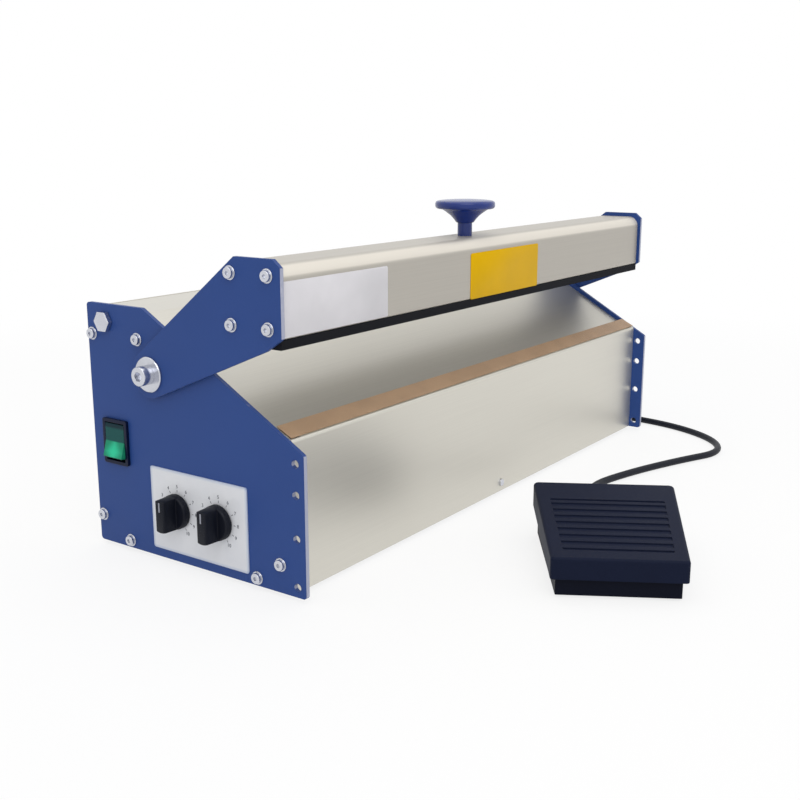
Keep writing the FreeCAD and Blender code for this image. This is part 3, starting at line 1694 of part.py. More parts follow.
def pedal_grommet():
    """Strain relief in the tray's rear wall, tapering along the lead."""
    rear_y = pedal_length - pedal_inset
    outline = [
        (0, -pedal_wall - 2.0),
        (grommet_flange_radius, -pedal_wall - 2.0),
        (grommet_flange_radius, -pedal_wall),
        (grommet_radius, -pedal_wall),
        (grommet_radius, 3.0),
        (grommet_tip_radius, grommet_length),
        (0, grommet_length),
    ]
    boot = turned_z(outline, [0] * len(outline), 0, 0)
    return on_floor(facing_y(boot, 1, 0, rear_y, grommet_up))


lead_rest_z = lead_radius
lead_start = floor_point(0, pedal_length - pedal_inset + grommet_length, grommet_up)
coil_x = gland_x - coil_left
coil_y = rear_face_y + coil_behind
coil_outer = coil_mean_radius + coil_turns_wide * lead_radius
coil_inner = coil_mean_radius - coil_turns_wide * lead_radius
coil_height = 2 * lead_radius * coil_layers_high
coil_join_x = coil_x + coil_outer - lead_radius

# Where the lead lies, from the foot switch round the right end to the coil behind the machine
lead_points = [
    lead_start,
    floor_point(0, pedal_length - pedal_inset + grommet_length + lead_straight, grommet_up),
    Vector(52, -137, lead_rest_z),
    Vector(half_length - 146, -151, lead_rest_z),
    Vector(half_length - 86, -173, lead_rest_z),
    Vector(half_length - 46, -192, lead_rest_z),
    Vector(half_length - 9, -176, lead_rest_z),
    Vector(half_length + 19, -134, lead_rest_z),
    Vector(half_length + 31, -80, lead_rest_z),
    Vector(half_length + 29, 0, lead_rest_z),
    Vector(half_length + 32, coil_y - 98, lead_rest_z),
    Vector(half_length + 27, coil_y - 58, lead_rest_z),
    Vector(half_length + 2, coil_y - 39, lead_rest_z),
    Vector(gland_x + 4, coil_y - 36, lead_rest_z),
    Vector(coil_x + 10, coil_y + lead_radius - coil_outer, lead_rest_z),
]
gland_points = [
    Vector(gland_x, rear_face_y + gland_length, up(gland_up)),
    Vector(gland_x, rear_face_y + gland_length + gland_straight, up(gland_up)),
    Vector(coil_join_x, coil_y - 10, coil_height + 0.2),
    Vector(coil_join_x - 0.4, coil_y + 8, coil_height - lead_radius),
]


def lead_tube(points, name):
    """A round tube along straight runs joined by arcs as large as the runs allow."""
    edges = []
    length = 0.0
    radii = []
    at = points[0]
    for before, corner, after in zip(points, points[1:], points[2:]):
        short = min(before.distanceToPoint(corner), corner.distanceToPoint(after))
        turn = math.pi - (before - corner).getAngle(after - corner)
        radius = arc_share * short / math.tan(turn / 2)
        start, middle, end = corner_arc(before, corner, after, radius)
        edges.append(Part.makeLine(at, start))
        edges.append(Part.Arc(start, middle, end).toShape())
        length += at.distanceToPoint(start) + radius * turn
        radii.append(round(radius))
        at = end
    edges.append(Part.makeLine(at, points[-1]))
    length += at.distanceToPoint(points[-1])
    path = Part.Wire(edges)
    heading = points[1] - points[0]
    profile = Part.Wire(Part.makeCircle(lead_radius, points[0], heading))
    tube = path.makePipeShell([profile], True, False)
    ideal = math.pi * lead_radius ** 2 * length
    ratio = round(tube.Volume / ideal, 4)
    print(name, "radii", radii, "length", round(length, 1), "volume ratio", ratio)
    return tube, length


def coil_solid():
    """Outer shape of the wound part of the lead."""
    cut = lead_radius * 0.6
    outline = [
        (coil_inner, cut),
        (coil_inner + cut, 0),
        (coil_outer - cut, 0),
        (coil_outer, cut),
        (coil_outer, coil_height - cut),
        (coil_outer - cut, coil_height),
        (coil_inner + cut, coil_height),
        (coil_inner, coil_height - cut),
    ]
    return turned_z(outline, [0] * len(outline), coil_x, coil_y)


front_lead, front_length = lead_tube(lead_points, "pedal_cord")
rear_lead, rear_length = lead_tube(gland_points, "pedal_cord_tail")
coil = coil_solid().cut(front_lead).cut(rear_lead)
coil_length = 2 * math.pi * coil_mean_radius * coil_turns
print("lead length", round(front_length + coil_length + rear_length))
print("closing angle", round(math.degrees(closing_angle), 3))
print("pivot", round(pivot_y, 3), round(pivot_z, 3), "hinge", floor_point(0, hinge_back, hinge_up))
print("switch axis", round(switch_axis_x, 3), round(switch_y, 3), round(switch_z, 3))
print("knobs", knob_places)

nodes = {
    "left_side_plate": left_side_plate(),
    "right_side_plate": side_plate(),
    "front_panel": front_panel(),
    "top_cover": top_cover(),
    "rear_panel": rear_panel(),
    "base_plate": base_plate(),
    "seal_bar": seal_bar(),
    "insulating_strip": insulating_strip(),
    "heating_wire": heating_wire(),
    "ptfe_tape": ptfe_tape(),
    "wire_clamps": wire_clamps(),
    "left_arm_plate": mirrored(arm_plate()),
    "right_arm_plate": arm_plate(),
    "beam_profile": beam_profile(),
    "pressure_pad": pressure_pad(),
    "lift_handle": lift_handle(),
    "handle_stud": handle_stud(),
    "arm_screws": end_screws(port_places, arm_outer_x, arm_screw_length),
    "side_screws": end_screws(side_screw_places, half_length, side_screw_length),
    "panel_screws": panel_screws(),
    "tie_rod": tie_rod(),
    "tie_rod_bolts": tie_rod_bolts(),
    "pivot_bushes": pivot_bushes(),
    "pivot_shaft": pivot_shaft(),
    "pivot_washers": pivot_washers(),
    "pivot_screws": pivot_screws(),
    "bell_cranks": bell_cranks(),
    "armature_plates": armature_plates(),
    "return_springs": return_springs(),
    "magnet_cores": magnet_cores(),
    "magnet_coils": magnet_coils(),
    "magnet_brackets": magnet_brackets(),
    "transformer_core": transformer_core(),
    "transformer_winding": transformer_winding(),
    "timer_potentiometers": timer_potentiometers(),
    "potentiometer_nuts": potentiometer_nuts(),
    "seal_timer_shaft": pot_shaft(knob_places[0]),
    "cool_timer_shaft": pot_shaft(knob_places[1]),
    "seal_time_knob": timer_knob(knob_places[0]),
    "cool_time_knob": timer_knob(knob_places[1]),
    "timer_board": timer_board(),
    "control_plate": control_plate(),
    "switch_housing": switch_housing(),
    "power_rocker": power_rocker(),
    "mains_inlet": mains_inlet(),
    "pedal_cord_gland": pedal_cord_gland(),
    "rubber_feet": rubber_feet(),
    "pedal_base": pedal_base(),
    "pedal_cover": pedal_cover(),
    "pedal_hinge_pin": pedal_hinge_pin(),
    "pedal_spring": pedal_spring(),
    "pedal_switch": pedal_switch(),
    "pedal_feet": pedal_feet(),
    "pedal_grommet": pedal_grommet(),
    "pedal_cord": front_lead,
    "pedal_cord_tail": rear_lead,
    "pedal_cord_coil": coil,
}

os.makedirs("parts", exist_ok=True)
for name, shape in nodes.items():
    shape.exportStep("parts/" + name + ".step")
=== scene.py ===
import json
import math

import bmesh
import bpy
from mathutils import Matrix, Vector


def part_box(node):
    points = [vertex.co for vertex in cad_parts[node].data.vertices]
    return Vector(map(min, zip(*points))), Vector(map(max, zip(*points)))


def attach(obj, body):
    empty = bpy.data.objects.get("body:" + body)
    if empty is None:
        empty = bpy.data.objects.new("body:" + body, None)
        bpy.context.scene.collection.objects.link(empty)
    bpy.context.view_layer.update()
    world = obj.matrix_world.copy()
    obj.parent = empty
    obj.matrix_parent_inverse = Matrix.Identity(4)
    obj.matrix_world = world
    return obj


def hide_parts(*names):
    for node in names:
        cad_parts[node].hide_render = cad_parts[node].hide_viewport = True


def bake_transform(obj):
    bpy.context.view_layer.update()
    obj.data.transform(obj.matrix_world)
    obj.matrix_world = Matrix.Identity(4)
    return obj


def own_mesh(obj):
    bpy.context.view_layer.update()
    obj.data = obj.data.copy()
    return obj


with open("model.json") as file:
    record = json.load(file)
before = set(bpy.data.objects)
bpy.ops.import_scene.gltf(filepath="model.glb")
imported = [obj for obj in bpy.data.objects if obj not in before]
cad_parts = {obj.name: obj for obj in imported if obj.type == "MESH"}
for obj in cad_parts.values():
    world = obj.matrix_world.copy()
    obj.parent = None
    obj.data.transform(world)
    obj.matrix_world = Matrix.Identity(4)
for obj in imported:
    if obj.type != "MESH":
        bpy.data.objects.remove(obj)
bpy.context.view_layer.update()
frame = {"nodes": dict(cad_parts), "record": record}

bl_info = {
    "name": "Impulse sealer",
    "version": (1, 0, 0),
    "blender": (4, 5, 0),
    "location": "3D View > Sidebar > Sealer",
    "description": "Table-top impulse sealer with its foot switch, dressed over its solids",
    "category": "Object",
}

slot_of = {part["node"]: part["material_slot"] for part in frame["record"]["subparts"]}


def tone(red, green, blue):
    """A colour from the 0 to 255 values that a screen shows, as shader values."""
    shares = [level / 255 for level in (red, green, blue)]
    return [
        share / 12.92 if share <= 0.04045 else ((share + 0.055) / 1.055) ** 2.4
        for share in shares
    ]


def centre_of(node):
    """The middle of the box round a solid."""
    low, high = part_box(node)
    return (low + high) / 2


# Sizes and colours that a user would change

class SealerSizes(bpy.types.PropertyGroup):
    """Sizes of the pieces that are modelled over the solids."""

    lead_diameter: bpy.props.FloatProperty(
        name="Lead diameter", description="Outside of the foot switch's lead",
        default=0.006, min=0.003, max=0.012, unit="LENGTH",
    )
    washer_radius: bpy.props.FloatProperty(
        name="Washer radius", description="Washers under the end screws",
        default=0.0045, min=0.003, max=0.008, unit="LENGTH",
    )
    head_radius: bpy.props.FloatProperty(
        name="Screw head radius", description="Heads of the end screws",
        default=0.0036, min=0.002, max=0.007, unit="LENGTH",
    )
    label_thickness: bpy.props.FloatProperty(
        name="Label thickness", description="Blank plates on the front of the beam",
        default=0.0003, min=0.0001, max=0.001, unit="LENGTH",
    )
    spring_wire: bpy.props.FloatProperty(
        name="Spring wire", description="Wire of the springs that lift the jaw",
        default=0.0018, min=0.0008, max=0.0025, unit="LENGTH",
    )
    digit_height: bpy.props.FloatProperty(
        name="Digit height", description="Numbers round the two dials",
        default=0.0034, min=0.001, max=0.005, unit="LENGTH",
    )


class SealerColours(bpy.types.PropertyGroup):
    """Colours of the finishes that show most."""

    enamel: bpy.props.FloatVectorProperty(
        name="Enamel", description="Painted end plates and arms",
        default=tone(37, 68, 132), subtype="COLOR", size=3, min=0, max=1,
    )
    handle: bpy.props.FloatVectorProperty(
        name="Handle", description="Moulded lifting handle",
        default=tone(22, 46, 120), subtype="COLOR", size=3, min=0, max=1,
    )
    sheet: bpy.props.FloatVectorProperty(
        name="Sheet", description="Folded front, cover and rear sheets",
        default=tone(204, 201, 192), subtype="COLOR", size=3, min=0, max=1,
    )
    extrusion: bpy.props.FloatVectorProperty(
        name="Extrusion", description="Anodised beam of the jaw",
        default=tone(180, 175, 166), subtype="COLOR", size=3, min=0, max=1,
    )
    # Colour of the rocker's lit half, which carries its painted glow.
    switch_light: bpy.props.FloatVectorProperty(
        name="Switch", description="Bright half of the rocker",
        default=tone(48, 190, 146), subtype="COLOR", size=3, min=0, max=1,
    )
    pedal: bpy.props.FloatVectorProperty(
        name="Foot switch", description="Moulded lid of the foot switch",
        default=tone(21, 27, 47), subtype="COLOR", size=3, min=0, max=1,
    )


# Shader maths

class Signal:
    """A socket that takes part in ordinary sums."""

    def __init__(self, nodes, socket):
        self.nodes = nodes
        self.socket = socket

    def combine(self, operation, first, second):
        """A Math node on two values, at least one of them a signal."""
        node = self.nodes.node("ShaderNodeMath", {"operation": operation}, {0: first, 1: second})
        return Signal(self.nodes, node.outputs[0])

    def __add__(self, other):
        return self.combine("ADD", self, other)

    def __radd__(self, other):
        return self.combine("ADD", other, self)

    def __mul__(self, other):
        return self.combine("MULTIPLY", self, other)

    def __rmul__(self, other):
        return self.combine("MULTIPLY", other, self)

    def __abs__(self):
        return self.combine("ABSOLUTE", self, 0.0)

    def wave(self):
        """The sine of this signal."""
        return self.combine("SINE", self, 0.0)


class Nodes:
    """A node tree in the making."""

    def __init__(self, tree):
        self.tree = tree

    def feed(self, socket, value):
        """Gives a socket its link, its colour or its number."""
        if isinstance(value, Signal):
            self.tree.links.new(value.socket, socket)
        elif socket.type == "RGBA" and len(value) == 3:
            socket.default_value = (*value, 1.0)
        else:
            socket.default_value = value

    def node(self, kind, settings, values):
        """One node of a kind, with its settings made first and its sockets filled after."""
        node = self.tree.nodes.new(kind)
        for key, setting in settings.items():
            setattr(node, key, setting)
        for key, value in values.items():
            self.feed(node.inputs[key], value)
        return node

    def seen(self):
        """1 where the camera, a mirror or a clear piece looks, 0 where lamps only light."""
        path = self.node("ShaderNodeLightPath", {}, {})
        rays = ("Is Camera Ray", "Is Glossy Ray", "Is Transmission Ray")
        camera, mirror, clear = [Signal(self, path.outputs[ray]) for ray in rays]
        return camera + mirror + clear


class Finish(Nodes):
    """A material in the making: its node tree and its surface shader."""

    def __init__(self, name, roughness=0.5, metallic=0.0, coat=0.0, shine=0.5):
        self.material = bpy.data.materials.new(name)
        self.material.use_nodes = True
        super().__init__(self.material.node_tree)
        self.shader = self.tree.nodes["Principled BSDF"]
        self.surface("Roughness", roughness)
        self.surface("Metallic", metallic)
        self.surface("Coat Weight", coat)
        self.surface("Specular IOR Level", shine)

    def surface(self, name, value):
        """Sets or links one input of the surface shader."""
        self.feed(self.shader.inputs[name], value)

    def place(self, stretch=(1.0, 1.0, 1.0), move=(0.0, 0.0, 0.0)):
        """Places on the piece, which a mapping may stretch and move."""
        where = self.node("ShaderNodeTexCoord", {}, {})
        mapped = self.node("ShaderNodeMapping", {}, {
            "Vector": Signal(self, where.outputs["Object"]), "Location": move, "Scale": stretch,
        })
        return Signal(self, mapped.outputs["Vector"])

    def axes(self, vector):
        """The three parts of a vector, as signals."""
        parts = self.node("ShaderNodeSeparateXYZ", {}, {0: vector})
        return [Signal(self, output) for output in parts.outputs]

    def facing(self):
        """The piece's own surface direction, as three signals."""
        where = self.node("ShaderNodeTexCoord", {}, {})
        return self.axes(Signal(self, where.outputs["Normal"]))

    def noise(self, scale, detail, stretch=(1.0, 1.0, 1.0)):
        """Soft noise over the piece, from 0 to 1."""
        node = self.node("ShaderNodeTexNoise", {}, {
            "Vector": self.place(stretch), "Scale": scale, "Detail": detail,
        })
        return Signal(self, node.outputs["Fac"])

    def cells(self, scale):
        """How far each place is from the middle of its small cell."""
        node = self.node("ShaderNodeTexVoronoi", {}, {"Vector": self.place(), "Scale": scale})
        return Signal(self, node.outputs["Distance"])

    def ramp(self, value, start, end):
        """A smooth rise from 0 to 1 while a signal goes from start to end."""
        node = self.node("ShaderNodeMapRange", {"interpolation_type": "SMOOTHSTEP"}, {
            "Value": value, "From Min": start, "From Max": end,
        })
        return Signal(self, node.outputs["Result"])

    def blend(self, share, first, second):
        """A colour between two others: a Mix node has colours on 6, 7 and its output 2."""
        node = self.node("ShaderNodeMix", {"data_type": "RGBA"}, {0: share, 6: first, 7: second})
        return Signal(self, node.outputs[2])

    def relief(self, height, depth, soft_edge=0.0):
        """Bumps of a depth in metres, over edges softened by a small radius."""
        values = {"Height": height, "Distance": depth, "Strength": 1.0}
        if soft_edge > 0:
            rounded = self.node("ShaderNodeBevel", {"samples": 4}, {"Radius": soft_edge})
            values["Normal"] = Signal(self, rounded.outputs["Normal"])
        bump = self.node("ShaderNodeBump", {}, values)
        self.surface("Normal", Signal(self, bump.outputs["Normal"]))


def scaled(colour, share):
    """A colour made darker or brighter, up to full."""
    return [min(level * share, 1.0) for level in colour]


# Finishes

def enamel_finish(name, colour):
    """Satin enamel on cut plate, thinner and a little paler in worn patches along all cut edges,
    and with a painted highlight that makes the edges facing the front much paler.
    """
    finish = Finish(name, shine=0.25)
    patches = finish.noise(scale=9.0, detail=4.0)
    peel = finish.noise(scale=1100.0, detail=1.0)
    across, forward, _ = finish.facing()
    edge = finish.ramp(abs(across), 0.75, 0.35)
    # Painted highlight: marks the cut edges that face the front, as if lit from the front.
    front = finish.ramp(forward, -0.80, -0.96)
    scuffs = finish.ramp(finish.noise(scale=160.0, detail=5.0), 0.56, 0.72)
    paint = finish.blend(patches, scaled(colour, 0.90), scaled(colour, 1.08))
    # Painted highlight on the front edges, plus slight paling and worn scuffs on all cut edges,
    # blended towards a pale lilac.
    edge_highlight_and_wear = edge * (0.02 + 0.66 * front + 0.16 * scuffs)
    finish.surface("Base Color", finish.blend(edge_highlight_and_wear, paint, tone(196, 198, 212)))
    finish.surface("Roughness", 0.44 + 0.08 * patches)
    finish.relief(peel, depth=0.00005, soft_edge=0.0006)
    return finish.material


def brushed_finish(name, colour, stretch, roughness, metallic, front=0.0, bend=0.0):
    """Satin metal with fine grain along one direction, with a painted highlight that makes its
    front faces or upper bends paler.
    """
    finish = Finish(name, metallic=metallic)
    _, forward, up = finish.facing()
    # Painted highlight: upper bends and front faces are blended towards a brighter copy of the
    # colour.
    bent = finish.ramp(up, 0.06, 0.30) * finish.ramp(up, 0.99, 0.80)
    pale = front * finish.ramp(forward, -0.95, -0.995) + bend * bent
    grain = finish.noise(scale=1.0, detail=3.0, stretch=stretch)
    patches = finish.noise(scale=7.0, detail=3.0)
    level = finish.ramp(grain, 0.25, 0.75)
    metal = finish.blend(
        0.6 * level + 0.4 * patches, scaled(colour, 0.94), scaled(colour, 1.04),
    )
    finish.surface("Base Color", finish.blend(pale, metal, scaled(colour, 1.65)))
    finish.surface("Roughness", roughness - 0.05 + 0.08 * grain + 0.06 * patches)
    finish.relief(grain, depth=0.00001, soft_edge=0.0004)
    return finish.material


def cast_finish(name, colour, roughness, metallic, tooth):
    """Plain metal with a fine even tooth and slight darkening in patches."""
    finish = Finish(name, metallic=metallic)
    bumps = finish.noise(scale=tooth, detail=3.0)
    patches = finish.noise(scale=60.0, detail=4.0)
    metal = finish.blend(patches, scaled(colour, 0.78), scaled(colour, 1.10))
    finish.surface("Base Color", metal)
    finish.surface("Roughness", roughness - 0.06 + 0.14 * patches)
    finish.relief(bumps, depth=0.00003, soft_edge=0.0003)
    return finish.material


def moulded_finish(name, colour, roughness, grain, coat=0.0, shine=0.2):
    """Moulded plastic or rubber with a fine spark-eroded grain of a depth in metres."""
    finish = Finish(name, coat=coat, shine=shine)
    pits = finish.cells(scale=1500.0)
    patches = finish.noise(scale=25.0, detail=4.0)
    skin = finish.blend(patches, scaled(colour, 0.85), scaled(colour, 1.15))
    finish.surface("Base Color", skin)
    finish.surface("Roughness", roughness - 0.04 + 0.10 * patches)
    finish.relief(pits, depth=grain, soft_edge=0.0007)
    return finish.material


def woven_finish(name, colour, pitch, roughness):
    """Cloth or a winding: threads of a pitch in metres across and along, with brown stains."""
    finish = Finish(name)
    across, along, _ = finish.axes(finish.place())
    turn = math.tau / pitch
    threads = 0.5 + 0.5 * ((across * turn).wave() * (along * turn).wave())
    stains = finish.ramp(finish.noise(scale=45.0, detail=5.0), 0.38, 0.68)
    cloth = finish.blend(threads, scaled(colour, 0.84), scaled(colour, 1.10))
    finish.surface("Base Color", finish.blend(0.30 * stains, cloth, scaled(colour, 0.60)))
    finish.surface("Roughness", roughness + 0.12 * threads)
    finish.relief(threads, depth=0.00008)
    return finish.material


def rocker_finish(name, colour):
    """Clear green cap in painted light: a painted glow in the middle of its raised half, its
    pressed half a darker shaded teal, and painted shade along its rims.
    """
    finish = Finish(name, shine=0.12)
    _, across, height = finish.axes(finish.place(move=tuple(-centre_of("power_rocker"))))
    # Painted light: the raised half gets a lit copy of the colour, with a painted glow about a
    # point below the middle.
    raised = finish.ramp(height, 0.0004, -0.0006)
    lamp_drop = 0.007
    from_lamp = abs(across) + abs(height + lamp_drop) * 0.8
    glow = finish.ramp(from_lamp, 0.011, 0.001) * raised
    frost = finish.noise(scale=900.0, detail=2.0)
    # Painted shade: a dark navy band along the cap's top and bottom rims.
    rim = finish.ramp(abs(height + 0.0008), 0.0092, 0.0112)
    # Painted shade: the pressed half is a darker teal, a shaded copy of the cap.
    shaded_teal = finish.blend(frost, tone(14, 66, 68), tone(24, 88, 84))
    lit = finish.blend(glow, scaled(colour, 0.50), scaled(colour, 1.10))
    cap = finish.blend(raised, shaded_teal, lit)
    finish.surface("Base Color", finish.blend(0.8 * rim, cap, tone(5, 28, 44)))
    finish.surface("Roughness", 0.20 + 0.08 * frost)
    finish.relief(frost, depth=0.00002, soft_edge=0.0006)
    return finish.material


def dial_finish(name):
    """White printed sheet, a little blue and darker towards its rim."""
    finish = Finish(name, coat=0.3)
    low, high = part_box("control_plate")
    _, across, height = finish.axes(finish.place(move=tuple(-(low + high) / 2)))
    half_width = (high.y - low.y) / 2
    half_height = (high.z - low.z) / 2
    rim = 0.0025
    rims = (
        finish.ramp(abs(across), half_width - rim, half_width)
        + finish.ramp(abs(height), half_height - rim, half_height)
    )
    mottle = finish.noise(scale=55.0, detail=3.0)
    sheet = finish.blend(mottle, tone(214, 216, 222), tone(228, 229, 232))
    finish.surface("Base Color", finish.blend(0.6 * rims, sheet, tone(160, 176, 206)))
    finish.surface("Roughness", 0.30 + 0.10 * mottle)
    finish.relief(finish.noise(scale=1600.0, detail=1.0), depth=0.00001)
    return finish.material


def laminate_finish(name):
    """Green laminate with paler tracks."""
    finish = Finish(name, roughness=0.4, coat=0.3)
    tracks = finish.ramp(finish.cells(scale=260.0), 0.42, 0.5)
    finish.surface("Base Color", finish.blend(tracks, tone(30, 92, 52), tone(66, 138, 78)))
    finish.relief(tracks, depth=0.00005)
    return finish.material


def finish_makers(colours):
    """For each slot of the record, what makes its finish and what that is told."""
    along = (8.0, 1900.0, 1900.0)
    upright = (1600.0, 1600.0, 8.0)
    return {
        "blue_paint": (enamel_finish, {"colour": colours.enamel}),
        # The front share paints a highlight on the front faces of the sheets.
        "brushed_sheet": (brushed_finish, {
            "colour": colours.sheet, "stretch": along,
            "roughness": 0.38, "metallic": 0.8, "front": 0.19}),
        "zinc_sheet": (cast_finish, {
            "colour": tone(186, 190, 194), "roughness": 0.36, "metallic": 0.9, "tooth": 500.0}),
        # The bend share paints a highlight along the beam's upper bends.
        "anodised": (brushed_finish, {
            "colour": colours.extrusion, "stretch": along,
            "roughness": 0.40, "metallic": 0.3, "bend": 0.95}),
        "glass_cloth": (woven_finish, {
            "colour": tone(214, 206, 184), "pitch": 0.0016, "roughness": 0.7}),
        "resistance_wire": (brushed_finish, {
            "colour": tone(150, 140, 130), "stretch": along,
            "roughness": 0.3, "metallic": 0.9}),
        "release_tape": (woven_finish, {
            "colour": tone(172, 140, 108), "pitch": 0.0011, "roughness": 0.42}),
        "brass": (brushed_finish, {
            "colour": tone(206, 172, 98), "stretch": upright,
            "roughness": 0.3, "metallic": 1.0}),
        "bronze": (cast_finish, {
            "colour": tone(150, 122, 86), "roughness": 0.45, "metallic": 0.9, "tooth": 900.0}),
        "black_rubber": (moulded_finish, {
            "colour": tone(20, 21, 26), "roughness": 0.72, "grain": 0.00005, "shine": 0.1}),
        "blue_plastic": (moulded_finish, {
            "colour": colours.handle, "roughness": 0.24, "grain": 0.000004,
            "coat": 0.25, "shine": 0.3}),
        "screw_steel": (cast_finish, {
            "colour": tone(206, 208, 216), "roughness": 0.22, "metallic": 1.0, "tooth": 700.0}),
        "core_iron": (brushed_finish, {
            "colour": tone(96, 97, 102), "stretch": upright,
            "roughness": 0.5, "metallic": 0.8}),
        "spring_steel": (cast_finish, {
            "colour": tone(160, 162, 166), "roughness": 0.3, "metallic": 1.0, "tooth": 800.0}),
        "winding": (woven_finish, {
            "colour": tone(176, 96, 40), "pitch": 0.0012, "roughness": 0.45}),
        "control_metal": (cast_finish, {
            "colour": tone(204, 205, 208), "roughness": 0.28, "metallic": 1.0, "tooth": 700.0}),
        "knob_plastic": (moulded_finish, {
            "colour": tone(17, 20, 30), "roughness": 0.42, "grain": 0.00002, "shine": 0.15}),
        "circuit_board": (laminate_finish, {}),
        "dial_sheet": (dial_finish, {}),
        "switch_plastic": (moulded_finish, {
            "colour": tone(5, 16, 46), "roughness": 0.30, "grain": 0.00001,
            "coat": 0.05, "shine": 0.15}),
        "green_plastic": (rocker_finish, {"colour": colours.switch_light}),
        "black_plastic": (moulded_finish, {
            "colour": tone(14, 17, 30), "roughness": 0.5, "grain": 0.00003, "shine": 0.06}),
        "pedal_plastic": (moulded_finish, {
            "colour": colours.pedal, "roughness": 0.5, "grain": 0.00004, "shine": 0.06}),
        "cord_jacket": (moulded_finish, {
            "colour": tone(26, 29, 38), "roughness": 0.45, "grain": 0.000008, "shine": 0.15}),
        "label_white": (moulded_finish, {
            "colour": tone(220, 218, 222), "roughness": 0.4, "grain": 0.000006, "shine": 0.3}),
        "label_yellow": (moulded_finish, {
            "colour": tone(224, 176, 2), "roughness": 0.42, "grain": 0.000006, "shine": 0.06}),
        "print_grey": (moulded_finish, {
            "colour": tone(84, 88, 100), "roughness": 0.5, "grain": 0.000004}),
        "print_pale": (moulded_finish, {
            "colour": tone(150, 152, 162), "roughness": 0.4, "grain": 0.000004}),
    }


def finish_for(slot):
    """The finish of a slot, made the first time that it is wanted."""
    name = "sealer_" + slot
    known = bpy.data.materials.get(name)
    if known is not None:
        return known
    maker, values = finish_makers(bpy.context.scene.sealer_colours)[slot]
    return maker(name, **values)


# Modelling by hand

outward = (-1, 0, 0)
upward = (0, 0, 1)


def pick(piece):
    """Leaves one piece active and selected, in object mode."""
    if bpy.context.object is not None and bpy.context.object.mode != "OBJECT":
        bpy.ops.object.mode_set(mode="OBJECT")
    bpy.ops.object.select_all(action="DESELECT")
    if piece is not None:
        piece.select_set(True)
        bpy.context.view_layer.objects.active = piece


def select_parts(kind, test):
    """Selects the edges or faces in edit mode that pass a test."""
    bpy.ops.mesh.select_mode(type=kind)
    bpy.ops.mesh.select_all(action="DESELECT")
    mesh = bmesh.from_edit_mesh(bpy.context.object.data)
    for part in {"EDGE": mesh.edges, "FACE": mesh.faces}[kind]:
        if test(part):
            part.select_set(True)
    bmesh.update_edit_mesh(bpy.context.object.data)


def round_edges(test, offset, segments):
    """Bevels the edges in edit mode that pass a test."""
    select_parts("EDGE", test)
    bpy.ops.mesh.bevel(offset=offset, segments=segments, affect="EDGES")


def put_in_place():
    """Moves the place, turn and size of the selected pieces into their meshes."""
    bpy.ops.object.transform_apply(location=True, rotation=True, scale=True)


def tidy_normals():
    """Merges doubles, turns the faces outwards and leaves edit mode."""
    bpy.ops.mesh.select_all(action="SELECT")
    bpy.ops.mesh.remove_doubles(threshold=0.000002)
    bpy.ops.mesh.normals_make_consistent(inside=False)
    bpy.ops.object.mode_set(mode="OBJECT")


def block(low, high):
    """A box between two corners, with its place in its mesh, left in edit mode."""
    pick(None)
    low = Vector(low)
    high = Vector(high)
    bpy.ops.mesh.primitive_cube_add(size=1, location=(low + high) / 2, scale=high - low)
    put_in_place()
    bpy.ops.object.mode_set(mode="EDIT")
    return bpy.context.object


def turned(start, axis, rings, sides):
    """A turned piece: a disc, then a ring extruded and resized for each (distance, radius)."""
    pick(None)
    start = Vector(start)
    axis = Vector(axis)
    lean = Vector(upward).rotation_difference(axis).to_euler()
    bpy.ops.mesh.primitive_circle_add(
        vertices=sides, radius=rings[0][1], fill_type="NGON",
        location=start + axis * rings[0][0], rotation=lean,
    )
    put_in_place()
    bpy.ops.object.mode_set(mode="EDIT")
    bpy.ops.mesh.select_all(action="SELECT")
    for (near, narrow), (far, wide) in zip(rings, rings[1:]):
        bpy.ops.mesh.extrude_region_move(TRANSFORM_OT_translate={"value": axis * (far - near)})
        bpy.ops.transform.resize(
            value=(wide / narrow,) * 3, center_override=start + axis * far,
        )
    tidy_normals()
    return bpy.context.object


def cut_away(piece, cutter):
    """Takes the cutter's shape out of the piece, and the cutter away."""
    pick(piece)
    change = piece.modifiers.new("Cut", "BOOLEAN")
    change.operation = "DIFFERENCE"
    change.solver = "EXACT"
    change.object = cutter
    bpy.ops.object.modifier_apply(modifier=change.name)
    bpy.data.objects.remove(cutter, do_unlink=True)
    return piece


def joined(pieces):
    """One piece from several."""
    pick(pieces[0])
    for piece in pieces:
        piece.select_set(True)
    if len(pieces) > 1:
        bpy.ops.object.join()
    return bpy.context.object


def copied(piece, places):
    """Copies of a piece, each with its own mesh, moved and turned about the upright."""
    pieces = []
    for place, turn in places:
        pick(piece)
        bpy.ops.object.duplicate()
        twin = bpy.context.object
        twin.location = place
        twin.rotation_euler = (0, 0, turn)
        put_in_place()
        pieces.append(twin)
    bpy.data.objects.remove(piece, do_unlink=True)
    return joined(pieces)


def on_both_ends(left, right, places):
    """Where copies stand on the two ends: as modelled on the left, turned on the right."""
    ends = []
    for y, z in places:
        ends.append(((left, y, z), 0.0))
        ends.append(((right, y, z), math.pi))
    return ends


def wire(name, points, radius, steps):
    """A round wire along a list of points, as a curve."""
    curve = bpy.data.curves.new(name, "CURVE")
    curve.dimensions = "3D"
    spline = curve.splines.new("NURBS")
    spline.points.add(len(points) - 1)
    for control, point in zip(spline.points, points):
        control.co = (*point, 1.0)
    spline.order_u = 3
    spline.use_endpoint_u = True
    spline.resolution_u = steps
    curve.bevel_depth = radius
    curve.bevel_resolution = 4
    curve.use_fill_caps = True
    piece = bpy.data.objects.new(name, curve)
    bpy.context.collection.objects.link(piece)
    return piece


def as_mesh(piece):
    """A curve or a text turned into a mesh."""
    pick(piece)
    bpy.ops.object.convert(target="MESH")
    return bpy.context.object


